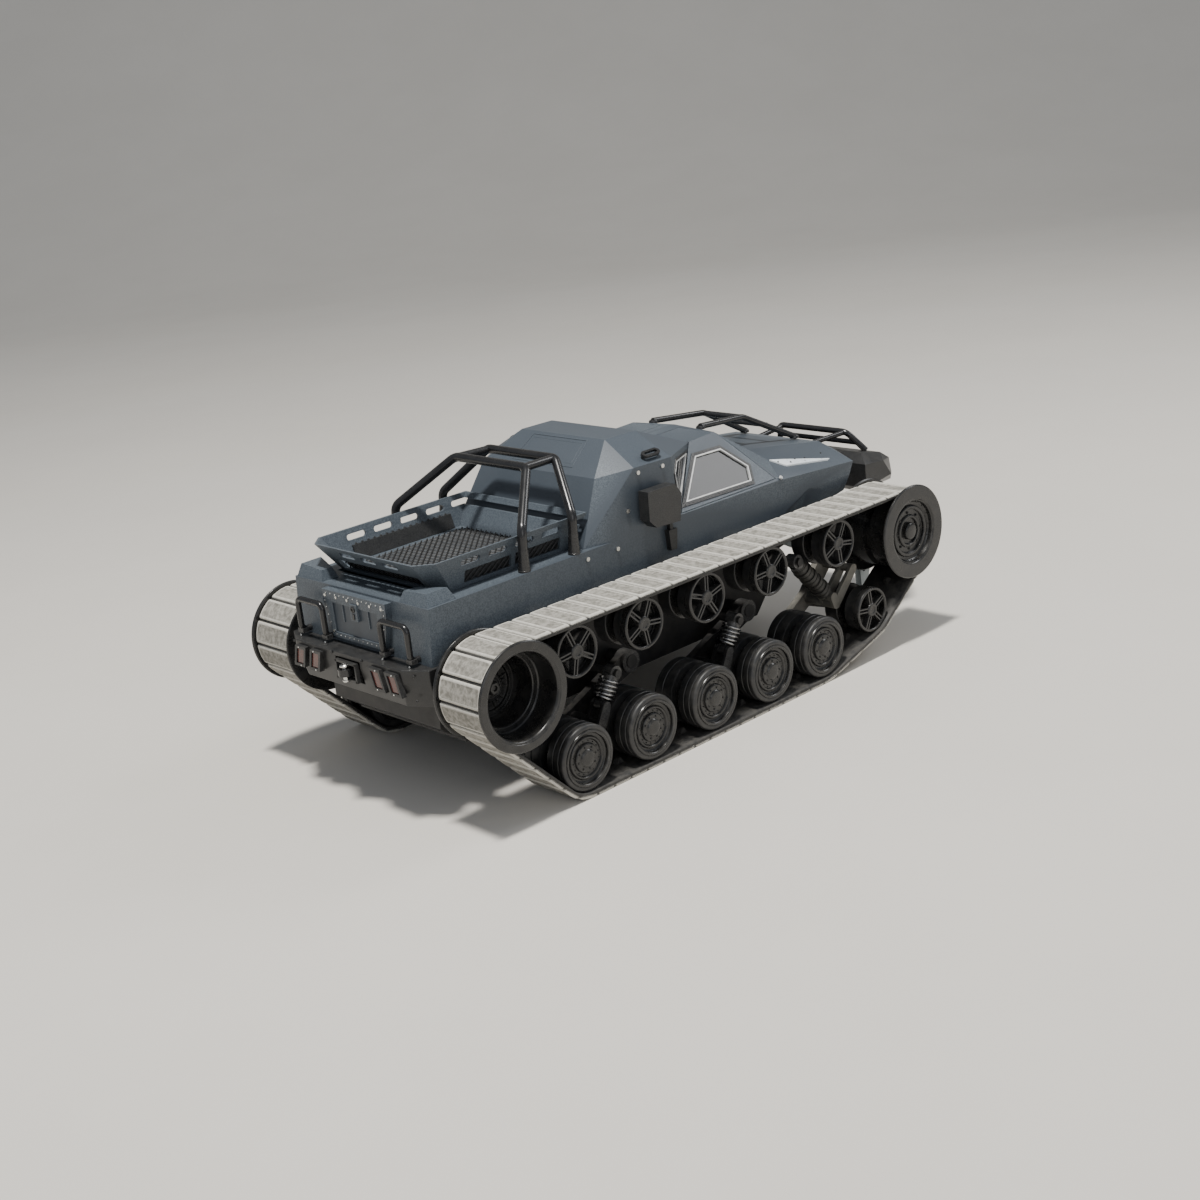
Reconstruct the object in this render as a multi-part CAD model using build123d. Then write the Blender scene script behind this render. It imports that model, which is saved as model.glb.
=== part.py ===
"""Tracked armoured vehicle, hobby scale, as an assembly of separate parts.

Millimetres. +X points to the front, +Y to the left side, +Z up, and the floor is z = 0.
While the parts are drawn, x = 0 is halfway between the drive wheel and the idler wheel.
ORIGIN_X then moves everything, so that the origin is under the middle of the bounding box.
"""
from build123d import *
import os
from math import acos, atan2, cos, hypot, pi, radians, sin

# Overall
REAR_END = -262.0
FRONT_END = 285.0
ORIGIN_X = (REAR_END + FRONT_END) / 2
RUN_GAP = 0.05          # radial running clearance of every wheel and pivot bore
FACE_GAP = 0.3          # gap between a wheel and the belt that lies on it

# Track and wheels, positions seen from the side
HALF_BASE = 210.0       # drive wheel and idler wheel stand at x = -+ this
END_Z = 93.0
END_FLANGE_R = 38.2
END_DRUM_R = 31.2
WHEEL_R = 24.2
WHEEL_Z = 28.8
WHEEL_X = (-157.2, -92.6, -27.6, 35.9, 96.9)
SMALL_R = 18.3
SMALL_X = 159.5
SMALL_Z = 40.5
ROLLER_R = 18.85
ROLLER_Z = 105.3
ROLLER_X = (-153.4, -88.9, -24.4, 45.8, 125.2)
AXLE_R = 3.0

# Track, positions across the vehicle (distance from the centre plane)
FLANGE_IN = 85.6
FLANGE_OUT = 134.9
BELT_IN = 88.6
BELT_OUT = 131.9
BELT_T = WHEEL_Z - WHEEL_R - FACE_GAP
BELT_MID = (BELT_IN + BELT_OUT) / 2
HORN_W = 5.0
HORN_H = 4.0
DRIVE_TEETH = 12
PAD_PITCH = 16.4
PAD_GROOVE_W = 1.8
PAD_GROOVE_D = 1.1

# Chassis
PLATE_IN = 58.0
PLATE_OUT = 62.0
TUB_FLOOR = 44.0
TUB_TOP = 112.0
TUB_REAR = -228.0

# Suspension
ARM_IN = 76.0
ARM_OUT = 82.0
FORK_IN = 98.0
FORK_OUT = 112.0
FORK_T = 3.0
ROD_R = 1.5
SHOCK_R = 6.2
SHOCK_BORE_R = 5.2
SPRING_R = 7.8
SPRING_BORE_R = 6.6

# Body shell
HULL_Y = 77.8
DECK_Z = 152.0
WALL = 2.0
DOOR_GAP = 0.5
HINGE_Y = 10.0

# Load bed
BED_FLOOR = 152.3
BED_TOP = 177.0
BED_WALL = 1.8
CAGE_R = 3.4
HITCH_X = REAR_END + 5.0

SIDES = (("left", 1), ("right", -1))

os.makedirs("parts", exist_ok=True)


# ---- helpers -----------------------------------------------------------------------

def on_side(shape, side):
    """A part drawn for the left side, or its mirror image for the right side."""
    return shape if side > 0 else mirror(shape, about=Plane.XZ)


def both_sides(shape):
    """A left part and its mirror image, as two solids or one where they meet."""
    return shape + mirror(shape, about=Plane.XZ)


def save(node, shapes):
    """Move to the final origin and write one STEP file."""
    solids = [solid for shape in shapes for solid in shape.solids()]
    moved = [Pos(-ORIGIN_X, 0, 0) * solid for solid in solids]
    export_step(Compound(children=moved), f"parts/{node}.step")


def turned(profile):
    """Solid of revolution about Y from (radius, y) points."""
    return revolve(make_face(Polyline(*profile, close=True)), Axis.Y, 360)


def rod_y(x, z, radius, y0, y1):
    """Cylinder along Y."""
    return Pos(x, (y0 + y1) / 2, z) * Rot(90, 0, 0) * Cylinder(radius, abs(y1 - y0))


def plate_xz(outline, y0, y1):
    """Plate of a side-view outline of (x, z) points, from y0 to y1."""
    face = make_face(Polyline(*[(x, y0, z) for x, z in outline], close=True))
    return extrude(face, amount=y1 - y0, dir=(0, 1, 0))


def plate_xy(outline, z0, z1):
    """Plate of a plan-view outline of (x, y) points, from z0 to z1."""
    face = make_face(Polyline(*[(x, y, z0) for x, y in outline], close=True))
    return extrude(face, amount=z1 - z0, dir=(0, 0, 1))


def box_between(low, high):
    """Box from its lowest to its highest corner."""
    size = [b - a for a, b in zip(low, high)]
    middle = [(a + b) / 2 for a, b in zip(low, high)]
    return Pos(*middle) * Box(*size)


def link_y(start, end, radius_a, radius_b, y0, y1):
    """Link with two round ends, seen from the side, from y0 to y1."""
    dx = end[0] - start[0]
    dz = end[1] - start[1]
    length = hypot(dx, dz)
    ux, uz = dx / length, dz / length
    waist = [
        (start[0] - uz * radius_a, start[1] + ux * radius_a),
        (end[0] - uz * radius_b, end[1] + ux * radius_b),
        (end[0] + uz * radius_b, end[1] - ux * radius_b),
        (start[0] + uz * radius_a, start[1] - ux * radius_a),
    ]
    round_a = rod_y(start[0], start[1], radius_a, y0, y1)
    round_b = rod_y(end[0], end[1], radius_b, y0, y1)
    return plate_xz(waist, y0, y1) + round_a + round_b


def bar_between(start, end, radius):
    """Round bar from one point to another."""
    axis = Vector(*end) - Vector(*start)
    return Plane(origin=start, z_dir=axis) * Cylinder(
        radius, axis.length, align=(Align.CENTER, Align.CENTER, Align.MIN))


def bent_tube(points, radius, bend):
    """Round tube along straight runs joined by bends of one radius."""
    path = FilletPolyline(*points, radius=bend)
    section = Plane(origin=path @ 0, z_dir=path % 0) * Circle(radius)
    return sweep(section, path=path)


def mirrored(points):
    """Points of the left side and of the right side."""
    return [(x, side * y, z) for x, y, z in points for side in (1, -1)]


def facet_block(points):
    """Convex faceted block, symmetric about the centre plane, from its left corners."""
    corners = sorted(set(mirrored(points)))
    return ConvexPolyhedron(corners)


# ---- belt --------------------------------------------------------------------------

BELT_CIRCLES = (
    (-HALF_BASE, END_Z, END_DRUM_R),
    (WHEEL_X[0], WHEEL_Z, WHEEL_R),
    (WHEEL_X[-1], WHEEL_Z, WHEEL_R),
    (SMALL_X, SMALL_Z, SMALL_R),
    (HALF_BASE, END_Z, END_DRUM_R),
)


def belt_runs(offset):
    """Straight runs of the belt line at a distance outside the wheels.

    The wheels are met in order from the drive wheel, along the floor, to the idler
    and back along the top. Each run is ((x, z) start, (x, z) end).
    """
    runs = []
    count = len(BELT_CIRCLES)
    for i in range(count):
        xa, za, ra = BELT_CIRCLES[i]
        xb, zb, rb = BELT_CIRCLES[(i + 1) % count]
        heading = atan2(zb - za, xb - xa)
        normal = heading - acos((ra - rb) / hypot(xb - xa, zb - za))
        out = (cos(normal), sin(normal))
        start = (xa + out[0] * (ra + offset), za + out[1] * (ra + offset))
        end = (xb + out[0] * (rb + offset), zb + out[1] * (rb + offset))
        runs.append((start, end))
    return runs


def belt_face(offset, y):
    """Closed face inside the belt line."""
    runs = belt_runs(offset)
    edges = []
    for i, (start, end) in enumerate(runs):
        edges.append(Line((start[0], y, start[1]), (end[0], y, end[1])))
        centre_x, centre_z, radius = BELT_CIRCLES[(i + 1) % len(runs)]
        following = runs[(i + 1) % len(runs)][0]
        angle_a = atan2(end[1] - centre_z, end[0] - centre_x)
        angle_b = atan2(following[1] - centre_z, following[0] - centre_x)
        if angle_b < angle_a:
            angle_b += 2 * pi
        middle = (angle_a + angle_b) / 2
        reach = radius + offset
        via = (centre_x + cos(middle) * reach, y, centre_z + sin(middle) * reach)
        edges.append(ThreePointArc((end[0], y, end[1]), via, (following[0], y, following[1])))
    return make_face(edges)


def belt_stations():
    """(x, z, angle) of each guide horn: a point on the belt's inner line and its outward
    direction. On the drive wheel the horns lie midway between the wheel's teeth."""
    step = 2 * pi / DRIVE_TEETH
    runs = belt_runs(FACE_GAP)
    drive_x, drive_z, _ = BELT_CIRCLES[0]
    arrive = runs[-1][1]
    leave = runs[0][0]
    angle_in = atan2(arrive[1] - drive_z, arrive[0] - drive_x)
    angle_out = atan2(leave[1] - drive_z, leave[0] - drive_x) + 2 * pi
    on_wheel = []
    angle = pi / 2 + step / 2
    while angle < angle_out:
        if angle > angle_in:
            on_wheel.append(angle)
        angle += step
    pieces = []
    for i, (start, end) in enumerate(runs):
        pieces.append(("run", start, end))
        centre = BELT_CIRCLES[(i + 1) % len(runs)]
        pieces.append(("arc", centre, (end, runs[(i + 1) % len(runs)][0])))
    stations = [at_angle(BELT_CIRCLES[0], a) for a in on_wheel]
    lead = (angle_out - on_wheel[-1]) * (END_DRUM_R + FACE_GAP)
    tail = (on_wheel[0] - angle_in) * (END_DRUM_R + FACE_GAP)
    free = sum(piece_length(piece) for piece in pieces[:-1])
    total = free + lead + tail
    count = round(total / PAD_PITCH)
    for k in range(1, count):
        distance = k * total / count - lead
        stations.append(station_at(pieces, distance, on_wheel, angle_out))
    return stations


def at_angle(circle, angle):
    """Station on the belt's inner line around a wheel."""
    reach = circle[2] + FACE_GAP
    return (circle[0] + cos(angle) * reach, circle[1] + sin(angle) * reach, angle)


def arc_angles(circle, ends):
    """First and last direction of the belt's arc around a wheel."""
    first = atan2(ends[0][1] - circle[1], ends[0][0] - circle[0])
    last = atan2(ends[1][1] - circle[1], ends[1][0] - circle[0])
    return (first, last if last > first else last + 2 * pi)


def piece_length(piece):
    """Length of a straight run or of an arc of the belt's inner line."""
    if piece[0] == "run":
        return hypot(piece[2][0] - piece[1][0], piece[2][1] - piece[1][1])
    first, last = arc_angles(piece[1], piece[2])
    return (last - first) * (piece[1][2] + FACE_GAP)


def station_at(pieces, distance, on_wheel, angle_out):
    """Station at a distance along the belt, counted from where it leaves the drive wheel."""
    if distance < 0:
        return at_angle(BELT_CIRCLES[0], angle_out + distance / (END_DRUM_R + FACE_GAP))
    for piece in pieces:
        length = piece_length(piece)
        if distance <= length:
            break
        distance -= length
    if piece[0] == "run":
        share = distance / length
        (xa, za), (xb, zb) = piece[1], piece[2]
        outward = atan2(zb - za, xb - xa) - pi / 2
        return (xa + (xb - xa) * share, za + (zb - za) * share, outward)
    first, _ = arc_angles(piece[1], piece[2])
    return at_angle(piece[1], first + distance / (piece[1][2] + FACE_GAP))


def track_belt():
    """Left belt: one rubber band with a groove between pads and a row of guide horns."""
    outer = extrude(belt_face(FACE_GAP + BELT_T, BELT_IN), amount=BELT_OUT - BELT_IN, dir=(0, 1, 0))
    inner = extrude(belt_face(FACE_GAP, BELT_IN), amount=BELT_OUT - BELT_IN, dir=(0, 1, 0))
    belt = outer - inner
    stations = belt_stations()
    horns = []
    grooves = []
    for i, (x, z, angle) in enumerate(stations):
        out = (cos(angle), sin(angle))
        along = (-sin(angle), cos(angle))
        shape = [(-3.5, 0.6), (-1.2, -HORN_H), (1.2, -HORN_H), (3.5, 0.6)]
        outline = [(x + along[0] * a + out[0] * o, z + along[1] * a + out[1] * o) for a, o in shape]
        horns.append(plate_xz(outline, BELT_MID - HORN_W / 2, BELT_MID + HORN_W / 2))
        following = stations[(i + 1) % len(stations)]
        grooves.append(pad_groove((x, z, angle), following))
    return (belt + horns) - grooves


def pad_groove(here, following):
    """Cutter for the groove between two neighbouring pads."""
    out_a = Vector(cos(here[2]), sin(here[2]), 0)
    out_b = Vector(cos(following[2]), sin(following[2]), 0)
    out = (out_a + out_b).normalized()
    reach_a = Vector(here[0], here[1], 0) + out_a * BELT_T
    reach_b = Vector(following[0], following[1], 0) + out_b * BELT_T
    middle = (reach_a + reach_b) * 0.5
    along = Vector(-out.Y, out.X, 0)
    bulge = (reach_b - reach_a).length * 0.13 * abs(out_a.cross(out_b).Z)
    corners = []
    for a, o in ((-1, -1), (-1, 1), (1, 1), (1, -1)):
        depth = bulge - PAD_GROOVE_D if o < 0 else bulge + 2
        point = middle + along * (a * PAD_GROOVE_W / 2) + out * depth
        corners.append((point.X, point.Y))
    return plate_xz(corners, BELT_IN - 1, BELT_OUT + 1)


# ---- wheels, drawn for the left side about the Y axis --------------------------------

def pins_around(radius, count, pin_radius, y0, y1, start=0.0):
    """Row of short pins on a circle about the Y axis."""
    pins = []
    for k in range(count):
        angle = radians(start + 360 * k / count)
        pins.append(rod_y(radius * cos(angle), radius * sin(angle), pin_radius, y0, y1))
    return pins


def drive_wheel():
    """Deep dished wheel with two flanges, rungs that catch the horns, and its own shaft."""
    groove_r = END_DRUM_R - HORN_H - 1.8
    groove_a = BELT_MID - HORN_W / 2 - 0.8
    groove_b = BELT_MID + HORN_W / 2 + 0.8
    ledge = groove_b + 1.5
    profile = [
        (0, FLANGE_IN), (END_FLANGE_R, FLANGE_IN), (END_FLANGE_R, FLANGE_IN + 2.4),
        (END_DRUM_R, FLANGE_IN + 2.6), (END_DRUM_R, groove_a), (groove_r, groove_a),
        (groove_r, groove_b), (END_DRUM_R, groove_b), (END_DRUM_R, FLANGE_OUT - 2.6),
        (END_FLANGE_R, FLANGE_OUT - 2.4), (END_FLANGE_R, FLANGE_OUT), (30.6, FLANGE_OUT),
        (30.0, FLANGE_OUT - 1.2), (29.2, ledge + 0.8), (28.4, ledge), (24.2, ledge),
        (23.4, FLANGE_IN + 15), (21.5, FLANGE_IN + 12), (18.5, FLANGE_IN + 12),
        (18.5, FLANGE_IN + 13.2), (16.6, FLANGE_IN + 13.2), (16.6, FLANGE_IN + 11),
        (10, FLANGE_IN + 11), (10, FLANGE_IN + 14.5), (7.4, FLANGE_IN + 15.5),
        (0, FLANGE_IN + 15.5),
    ]
    wheel = turned(profile)
    rungs = []
    for k in range(DRIVE_TEETH):
        angle = 90 + 360 * k / DRIVE_TEETH
        rung = box_between((groove_r - 0.5, groove_a - 0.2, -1.5), (groove_r + 1.6, groove_b + 0.2, 1.5))
        rungs.append(Rot(0, -angle, 0) * rung)
    nut = Pos(0, FLANGE_IN + 17.3, 0) * Rot(90, 0, 0) * extrude(RegularPolygon(5.2, 6), 2, both=True)
    shaft = rod_y(0, 0, 4.0, 48, FLANGE_IN + 1)
    bolts = pins_around(13.3, 6, 1.4, FLANGE_IN + 10.5, FLANGE_IN + 12.4)
    return wheel + rungs + nut + shaft + bolts


def idler_wheel():
    """Flat-faced wheel with two flanges and stepped rings round a centre cap."""
    groove_r = END_DRUM_R - HORN_H - 0.6
    groove_a = BELT_MID - HORN_W / 2 - 0.8
    groove_b = BELT_MID + HORN_W / 2 + 0.8
    profile = [
        (AXLE_R + RUN_GAP, FLANGE_IN), (END_FLANGE_R, FLANGE_IN),
        (END_FLANGE_R, FLANGE_IN + 2.4), (END_DRUM_R, FLANGE_IN + 2.6), (END_DRUM_R, groove_a),
        (groove_r, groove_a), (groove_r, groove_b), (END_DRUM_R, groove_b),
        (END_DRUM_R, FLANGE_OUT - 2.6), (END_FLANGE_R, FLANGE_OUT - 2.4),
        (END_FLANGE_R, FLANGE_OUT - 0.8), (37.2, FLANGE_OUT), (26.4, FLANGE_OUT),
        (25.4, FLANGE_OUT - 1.0), (24.0, FLANGE_OUT - 4.5), (21.0, FLANGE_OUT - 5.5),
        (20.4, FLANGE_OUT - 3.6), (18.2, FLANGE_OUT - 3.6), (17.6, FLANGE_OUT - 6.0),
        (13.2, FLANGE_OUT - 6.0), (12.6, FLANGE_OUT - 4.4), (10.8, FLANGE_OUT - 4.4),
        (10.2, FLANGE_OUT - 6.5), (7.0, FLANGE_OUT - 6.5), (6.5, FLANGE_OUT - 3.0),
        (4.5, FLANGE_OUT - 2.2), (0, FLANGE_OUT - 2.2), (0, FLANGE_OUT - 7.5),
        (AXLE_R + RUN_GAP, FLANGE_OUT - 7.5),
    ]
    return turned(profile) + pins_around(15.4, 8, 1.0, FLANGE_OUT - 6.5, FLANGE_OUT - 4.8)


def road_wheel():
    """Twin-tyred wheel with a centre groove for the horns and a ringed hub face."""
    face = BELT_OUT - 1.0
    back = BELT_IN + 1.0
    groove_a = BELT_MID - HORN_W / 2 - 1.0
    groove_b = BELT_MID + HORN_W / 2 + 1.0
    groove_r = WHEEL_R - HORN_H - 1.5
    profile = [
        (AXLE_R + RUN_GAP, back), (22.4, back), (WHEEL_R, back + 1.4), (WHEEL_R, groove_a),
        (groove_r, groove_a), (groove_r, groove_b), (WHEEL_R, groove_b),
        (WHEEL_R, face - 2.2), (23.4, face - 0.9), (21.9, face - 0.5), (20.4, face - 0.5),
        (19.8, face), (18.6, face), (18.0, face - 2.6), (15.8, face - 3.4),
        (15.2, face - 2.2), (13.6, face - 2.0), (13.0, face - 3.4), (10.6, face - 3.4),
        (10.0, face - 1.6), (6.4, face - 1.6), (5.8, face - 0.4), (3.6, face),
        (0, face), (0, face - 4.6), (AXLE_R + RUN_GAP, face - 4.6),
    ]
    return turned(profile) + pins_around(8.2, 8, 0.9, face - 2.0, face - 0.8)


def spoked_disc(radius, rim, hub, y0, y1):
    """Thin rim and round hub joined by five pairs of ribs."""
    disc = rod_y(0, 0, radius, y0, y1) - rod_y(0, 0, radius - rim, y0 - 1, y1 + 1)
    disc += rod_y(0, 0, hub, y0, y1)
    for k in range(5):
        for offset in (-1.35, 1.35):
            inner_end, outer_end = hub - 1.0, radius - rim + 0.6
            rib = box_between((inner_end, y0 + 0.8, offset - 0.6), (outer_end, y1 - 0.5, offset + 0.6))
            disc += Rot(0, 72 * k + 18, 0) * rib
    return disc


def spoked_roller(radius, face):
    """Roller with a spoked outer disc, an inner disc, and a thin waist between them."""
    back = BELT_IN + 5.0
    groove_a = BELT_MID - HORN_W / 2 - 1.0
    groove_b = BELT_MID + HORN_W / 2 + 1.0
    profile = [
        (AXLE_R + RUN_GAP, back), (radius - 2.4, back), (radius, back + 1.0),
        (radius, groove_a), (8.0, groove_a), (8.0, groove_b), (radius - 0.5, groove_b),
        (radius - 0.5, face - 6.0), (radius - 3.0, face - 6.0), (radius - 3.4, face - 8.0),
        (8.0, face - 9.5), (5.6, face - 1.5), (5.2, face + 0.2), (0, face + 0.2),
        (0, face - 3.0), (AXLE_R + RUN_GAP, face - 3.0),
    ]
    roller = turned(profile) + spoked_disc(radius, 2.6, 5.4, face - 6.5, face)
    return roller - rod_y(0, 0, AXLE_R + RUN_GAP, back - 1, face - 3.0)


# ---- suspension ----------------------------------------------------------------------

def unit(pivot, centre, wheels, shock_low, shock_up):
    """One suspension unit seen from the side: every entry is an (x, z) point."""
    return {"pivot": pivot, "centre": centre, "wheels": wheels, "low": shock_low, "up": shock_up}


def paired_unit(first):
    """Unit under two equal road wheels: the arm trails behind its pivot."""
    middle = (WHEEL_X[first] + WHEEL_X[first + 1]) / 2
    wheels = ((WHEEL_X[first], WHEEL_Z), (WHEEL_X[first + 1], WHEEL_Z))
    return unit((middle + 59, 61.5), (middle, 38), wheels, (middle + 6, 50), (middle + 20, 70))


UNITS = (
    paired_unit(0),
    paired_unit(2),
    unit((170, 84), (136, 50), ((WHEEL_X[4], WHEEL_Z), (SMALL_X, SMALL_Z)), (133, 56.5), (96, 96)),
)
BRACE = (159, 73)        # where the outer ribs of the front arm join its inner link


def bogie_arm(item):
    """Arm with a pivot bore, two wheel axles, and the fork and rod of its shock absorber."""
    arm = link_y(item["pivot"], item["centre"], 8.5, 6.5, ARM_IN, ARM_OUT)
    for x, z in item["wheels"]:
        arm += link_y(item["centre"], (x, z), 6.5, 5.5, ARM_IN, ARM_OUT)
        arm += rod_y(x, z, 5.5, ARM_OUT - 0.5, BELT_IN + 0.4)
    px, pz = item["pivot"]
    arm += rod_y(px, pz, 8.5, ARM_IN - 2, ARM_OUT + 2)
    post = rod_y(item["centre"][0], item["centre"][1], 4.2, ARM_OUT - 0.5, FORK_OUT)
    arm += post
    for y0 in (FORK_IN, FORK_OUT - FORK_T):
        arm += link_y(item["centre"], item["low"], 4.2, 3.6, y0, y0 + FORK_T)
    arm += rod_y(item["low"][0], item["low"][1], 2.2, FORK_IN, FORK_OUT)
    middle = (FORK_IN + FORK_OUT) / 2
    arm += rod_y(item["low"][0], item["low"][1], 3.8, middle - 3.2, middle + 3.2)
    arm += shock_bar(item, 0, 17, ROD_R)
    if item is UNITS[2]:
        arm += rod_y(BRACE[0], BRACE[1], 3.4, ARM_OUT - 0.5, FORK_OUT)
        for y0 in (FORK_IN, FORK_OUT - FORK_T):
            arm += link_y(BRACE, item["centre"], 3.8, 4.2, y0, y0 + FORK_T)
    arm -= rod_y(px, pz, AXLE_R + RUN_GAP, ARM_IN - 5, ARM_OUT + 5)
    for x, z in item["wheels"]:
        end = axle_end(x)
        arm += rod_y(x, z, AXLE_R, ARM_OUT - 0.5, end)
    return arm


def axle_end(x):
    """How far out the axle of a road wheel or of the small wheel reaches."""
    return BELT_OUT - 4.6 - 2.0 if x == SMALL_X else BELT_OUT - 1.0 - 5.0


def shock_bar(item, near, far, radius):
    """Round bar on the axis of a shock absorber, measured from its lower eye."""
    (xa, za), (xb, zb) = item["low"], item["up"]
    length = hypot(xb - xa, zb - za)
    ux, uz = (xb - xa) / length, (zb - za) / length
    y = (FORK_IN + FORK_OUT) / 2
    start = (xa + ux * near, y, za + uz * near)
    end = (xa + ux * far, y, za + uz * far)
    return bar_between(start, end, radius)


def shock_length(item):
    """Distance between the two eyes of a shock absorber."""
    (xa, za), (xb, zb) = item["low"], item["up"]
    return hypot(xb - xa, zb - za)


def shock_body(item):
    """Cylinder with a wide bore for the rod and an eye on the upper pin."""
    length = shock_length(item)
    ux, uz = item["up"]
    middle = (FORK_IN + FORK_OUT) / 2
    body = shock_bar(item, 9, length - 2.5, SHOCK_R) - shock_bar(item, 8, 20.5, SHOCK_BORE_R)
    body += rod_y(ux, uz, 5.4, middle - 4.5, middle + 4.5)
    return body - rod_y(ux, uz, AXLE_R + RUN_GAP, middle - 8, middle + 8)


def shock_spring(item):
    """Coil spring as a ribbed sleeve round the shock absorber."""
    far = shock_length(item) - 6.0
    near = 6.0
    turns = 6
    pitch = (far - near) / turns
    profile = [(SPRING_BORE_R, 0)]
    for k in range(turns):
        profile += [(SPRING_R - 0.6, k * pitch), (SPRING_R, (k + 0.5) * pitch)]
    profile += [(SPRING_R - 0.6, far - near), (SPRING_BORE_R, far - near)]
    (xa, za), (xb, zb) = item["low"], item["up"]
    length = shock_length(item)
    direction = ((xb - xa) / length, 0, (zb - za) / length)
    foot = (xa + direction[0] * near, (FORK_IN + FORK_OUT) / 2, za + direction[2] * near)
    return Plane(origin=foot, z_dir=direction) * Rot(90, 0, 0) * turned(profile)


# ---- chassis -------------------------------------------------------------------------

def chassis_side():
    """Left side plate with the pins that carry rollers, arms and shock absorbers."""
    outline = [
        (TUB_REAR, 60), (TUB_REAR + 22, TUB_FLOOR), (96, TUB_FLOOR), (112, 62), (112, 88),
        (150, 96), (168, 104), (168, TUB_TOP), (TUB_REAR, TUB_TOP),
    ]
    side = plate_xz(outline, PLATE_IN, PLATE_OUT)
    side += box_between((TUB_REAR, PLATE_IN, TUB_TOP - 3), (150, 76.5, TUB_TOP))
    for x in ROLLER_X:
        side += rod_y(x, ROLLER_Z, 5.0, PLATE_OUT - 1, BELT_IN + 4.5)
        side += rod_y(x, ROLLER_Z, AXLE_R, PLATE_OUT - 1, BELT_OUT - 8.5)
    for item in UNITS[:2]:
        side += rod_y(item["pivot"][0], item["pivot"][1], 6.0, PLATE_OUT - 1, ARM_IN - 2.4)
        side += rod_y(item["pivot"][0], item["pivot"][1], AXLE_R, PLATE_OUT - 1, ARM_OUT + 3.0)
        side += rod_y(item["pivot"][0], item["pivot"][1], 5.0, ARM_OUT + 2.2, ARM_OUT + 3.0)
    for item in UNITS:
        side += rod_y(item["up"][0], item["up"][1], AXLE_R, PLATE_OUT - 1, FORK_OUT)
        side += rod_y(item["up"][0], item["up"][1], 5.0, PLATE_OUT - 1, ARM_IN)
    side += rod_y(-HALF_BASE, END_Z, 10.0, PLATE_OUT - 1, FLANGE_IN - 1.0)
    return side - rod_y(-HALF_BASE, END_Z, 4.0 + RUN_GAP, PLATE_IN - 1, FLANGE_IN + 1)


def chassis_tub():
    """Tub of two side plates, a floor, and end walls."""
    floor = box_between((TUB_REAR + 20, -PLATE_OUT, TUB_FLOOR), (96, PLATE_OUT, TUB_FLOOR + 3))
    front_wall = [(93, 44), (96, 44), (112, 62), (112, 100), (109, 100), (109, 63)]
    front = plate_xz(front_wall, -PLATE_OUT, PLATE_OUT)
    rear = box_between((TUB_REAR, -PLATE_OUT, 60), (TUB_REAR + 3, PLATE_OUT, TUB_TOP))
    slope = [(TUB_REAR, 60), (TUB_REAR + 22, 44), (TUB_REAR + 22, 47), (TUB_REAR + 3, 61)]
    skirt = plate_xz(slope, -PLATE_OUT, PLATE_OUT)
    brace = box_between((150, -PLATE_OUT, 104), (168, PLATE_OUT, TUB_TOP))
    return both_sides(chassis_side()) + floor + front + rear + skirt + brace


def idler_bracket():
    """Cast triangular bracket that holds the idler axle and the front arm's pivot pin."""
    outline = [
        (118, 108), (150, 108), (212, 102), (219, 97), (219, 89), (212, 84), (178, 76),
        (164, 76), (128, 96), (118, 98),
    ]
    bracket = plate_xz(outline, PLATE_OUT + 0.05, 67)
    bracket -= plate_xz([(154, 101), (196, 97), (176, 92), (160, 92)], PLATE_OUT - 1, 70)
    bracket -= rod_y(ROLLER_X[-1], ROLLER_Z, 5.2, PLATE_OUT - 1, 70)
    bracket += rod_y(HALF_BASE, END_Z, 9.0, PLATE_OUT + 0.05, FLANGE_IN - 1.0)
    bracket += rod_y(HALF_BASE, END_Z, AXLE_R, FLANGE_IN - 2, FLANGE_OUT - 8.5)
    lug = plate_xz([(199, 92), (225, 88), (222, 72), (212, 38), (205, 36), (203, 60)], ARM_IN, ARM_OUT)
    bracket += lug - plate_xz([(207, 80), (217, 78), (210, 52), (207.5, 52)], ARM_IN - 1, ARM_OUT + 1)
    x, z = UNITS[2]["pivot"]
    bracket += rod_y(x, z, 7.5, PLATE_OUT + 0.05, ARM_IN - 2.4)
    bracket += rod_y(x, z, AXLE_R, ARM_IN - 3, ARM_OUT + 3.0)
    bracket += rod_y(x, z, 5.0, ARM_OUT + 2.2, ARM_OUT + 3.0)
    for (xa, za), (xb, zb) in (((134, 102), (205, 95)), ((166, 82), (206, 91))):
        bracket += link_y((xa, za), (xb, zb), 1.6, 1.6, 66.5, 70.5)
    return bracket


# ---- body shell ----------------------------------------------------------------------

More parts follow.
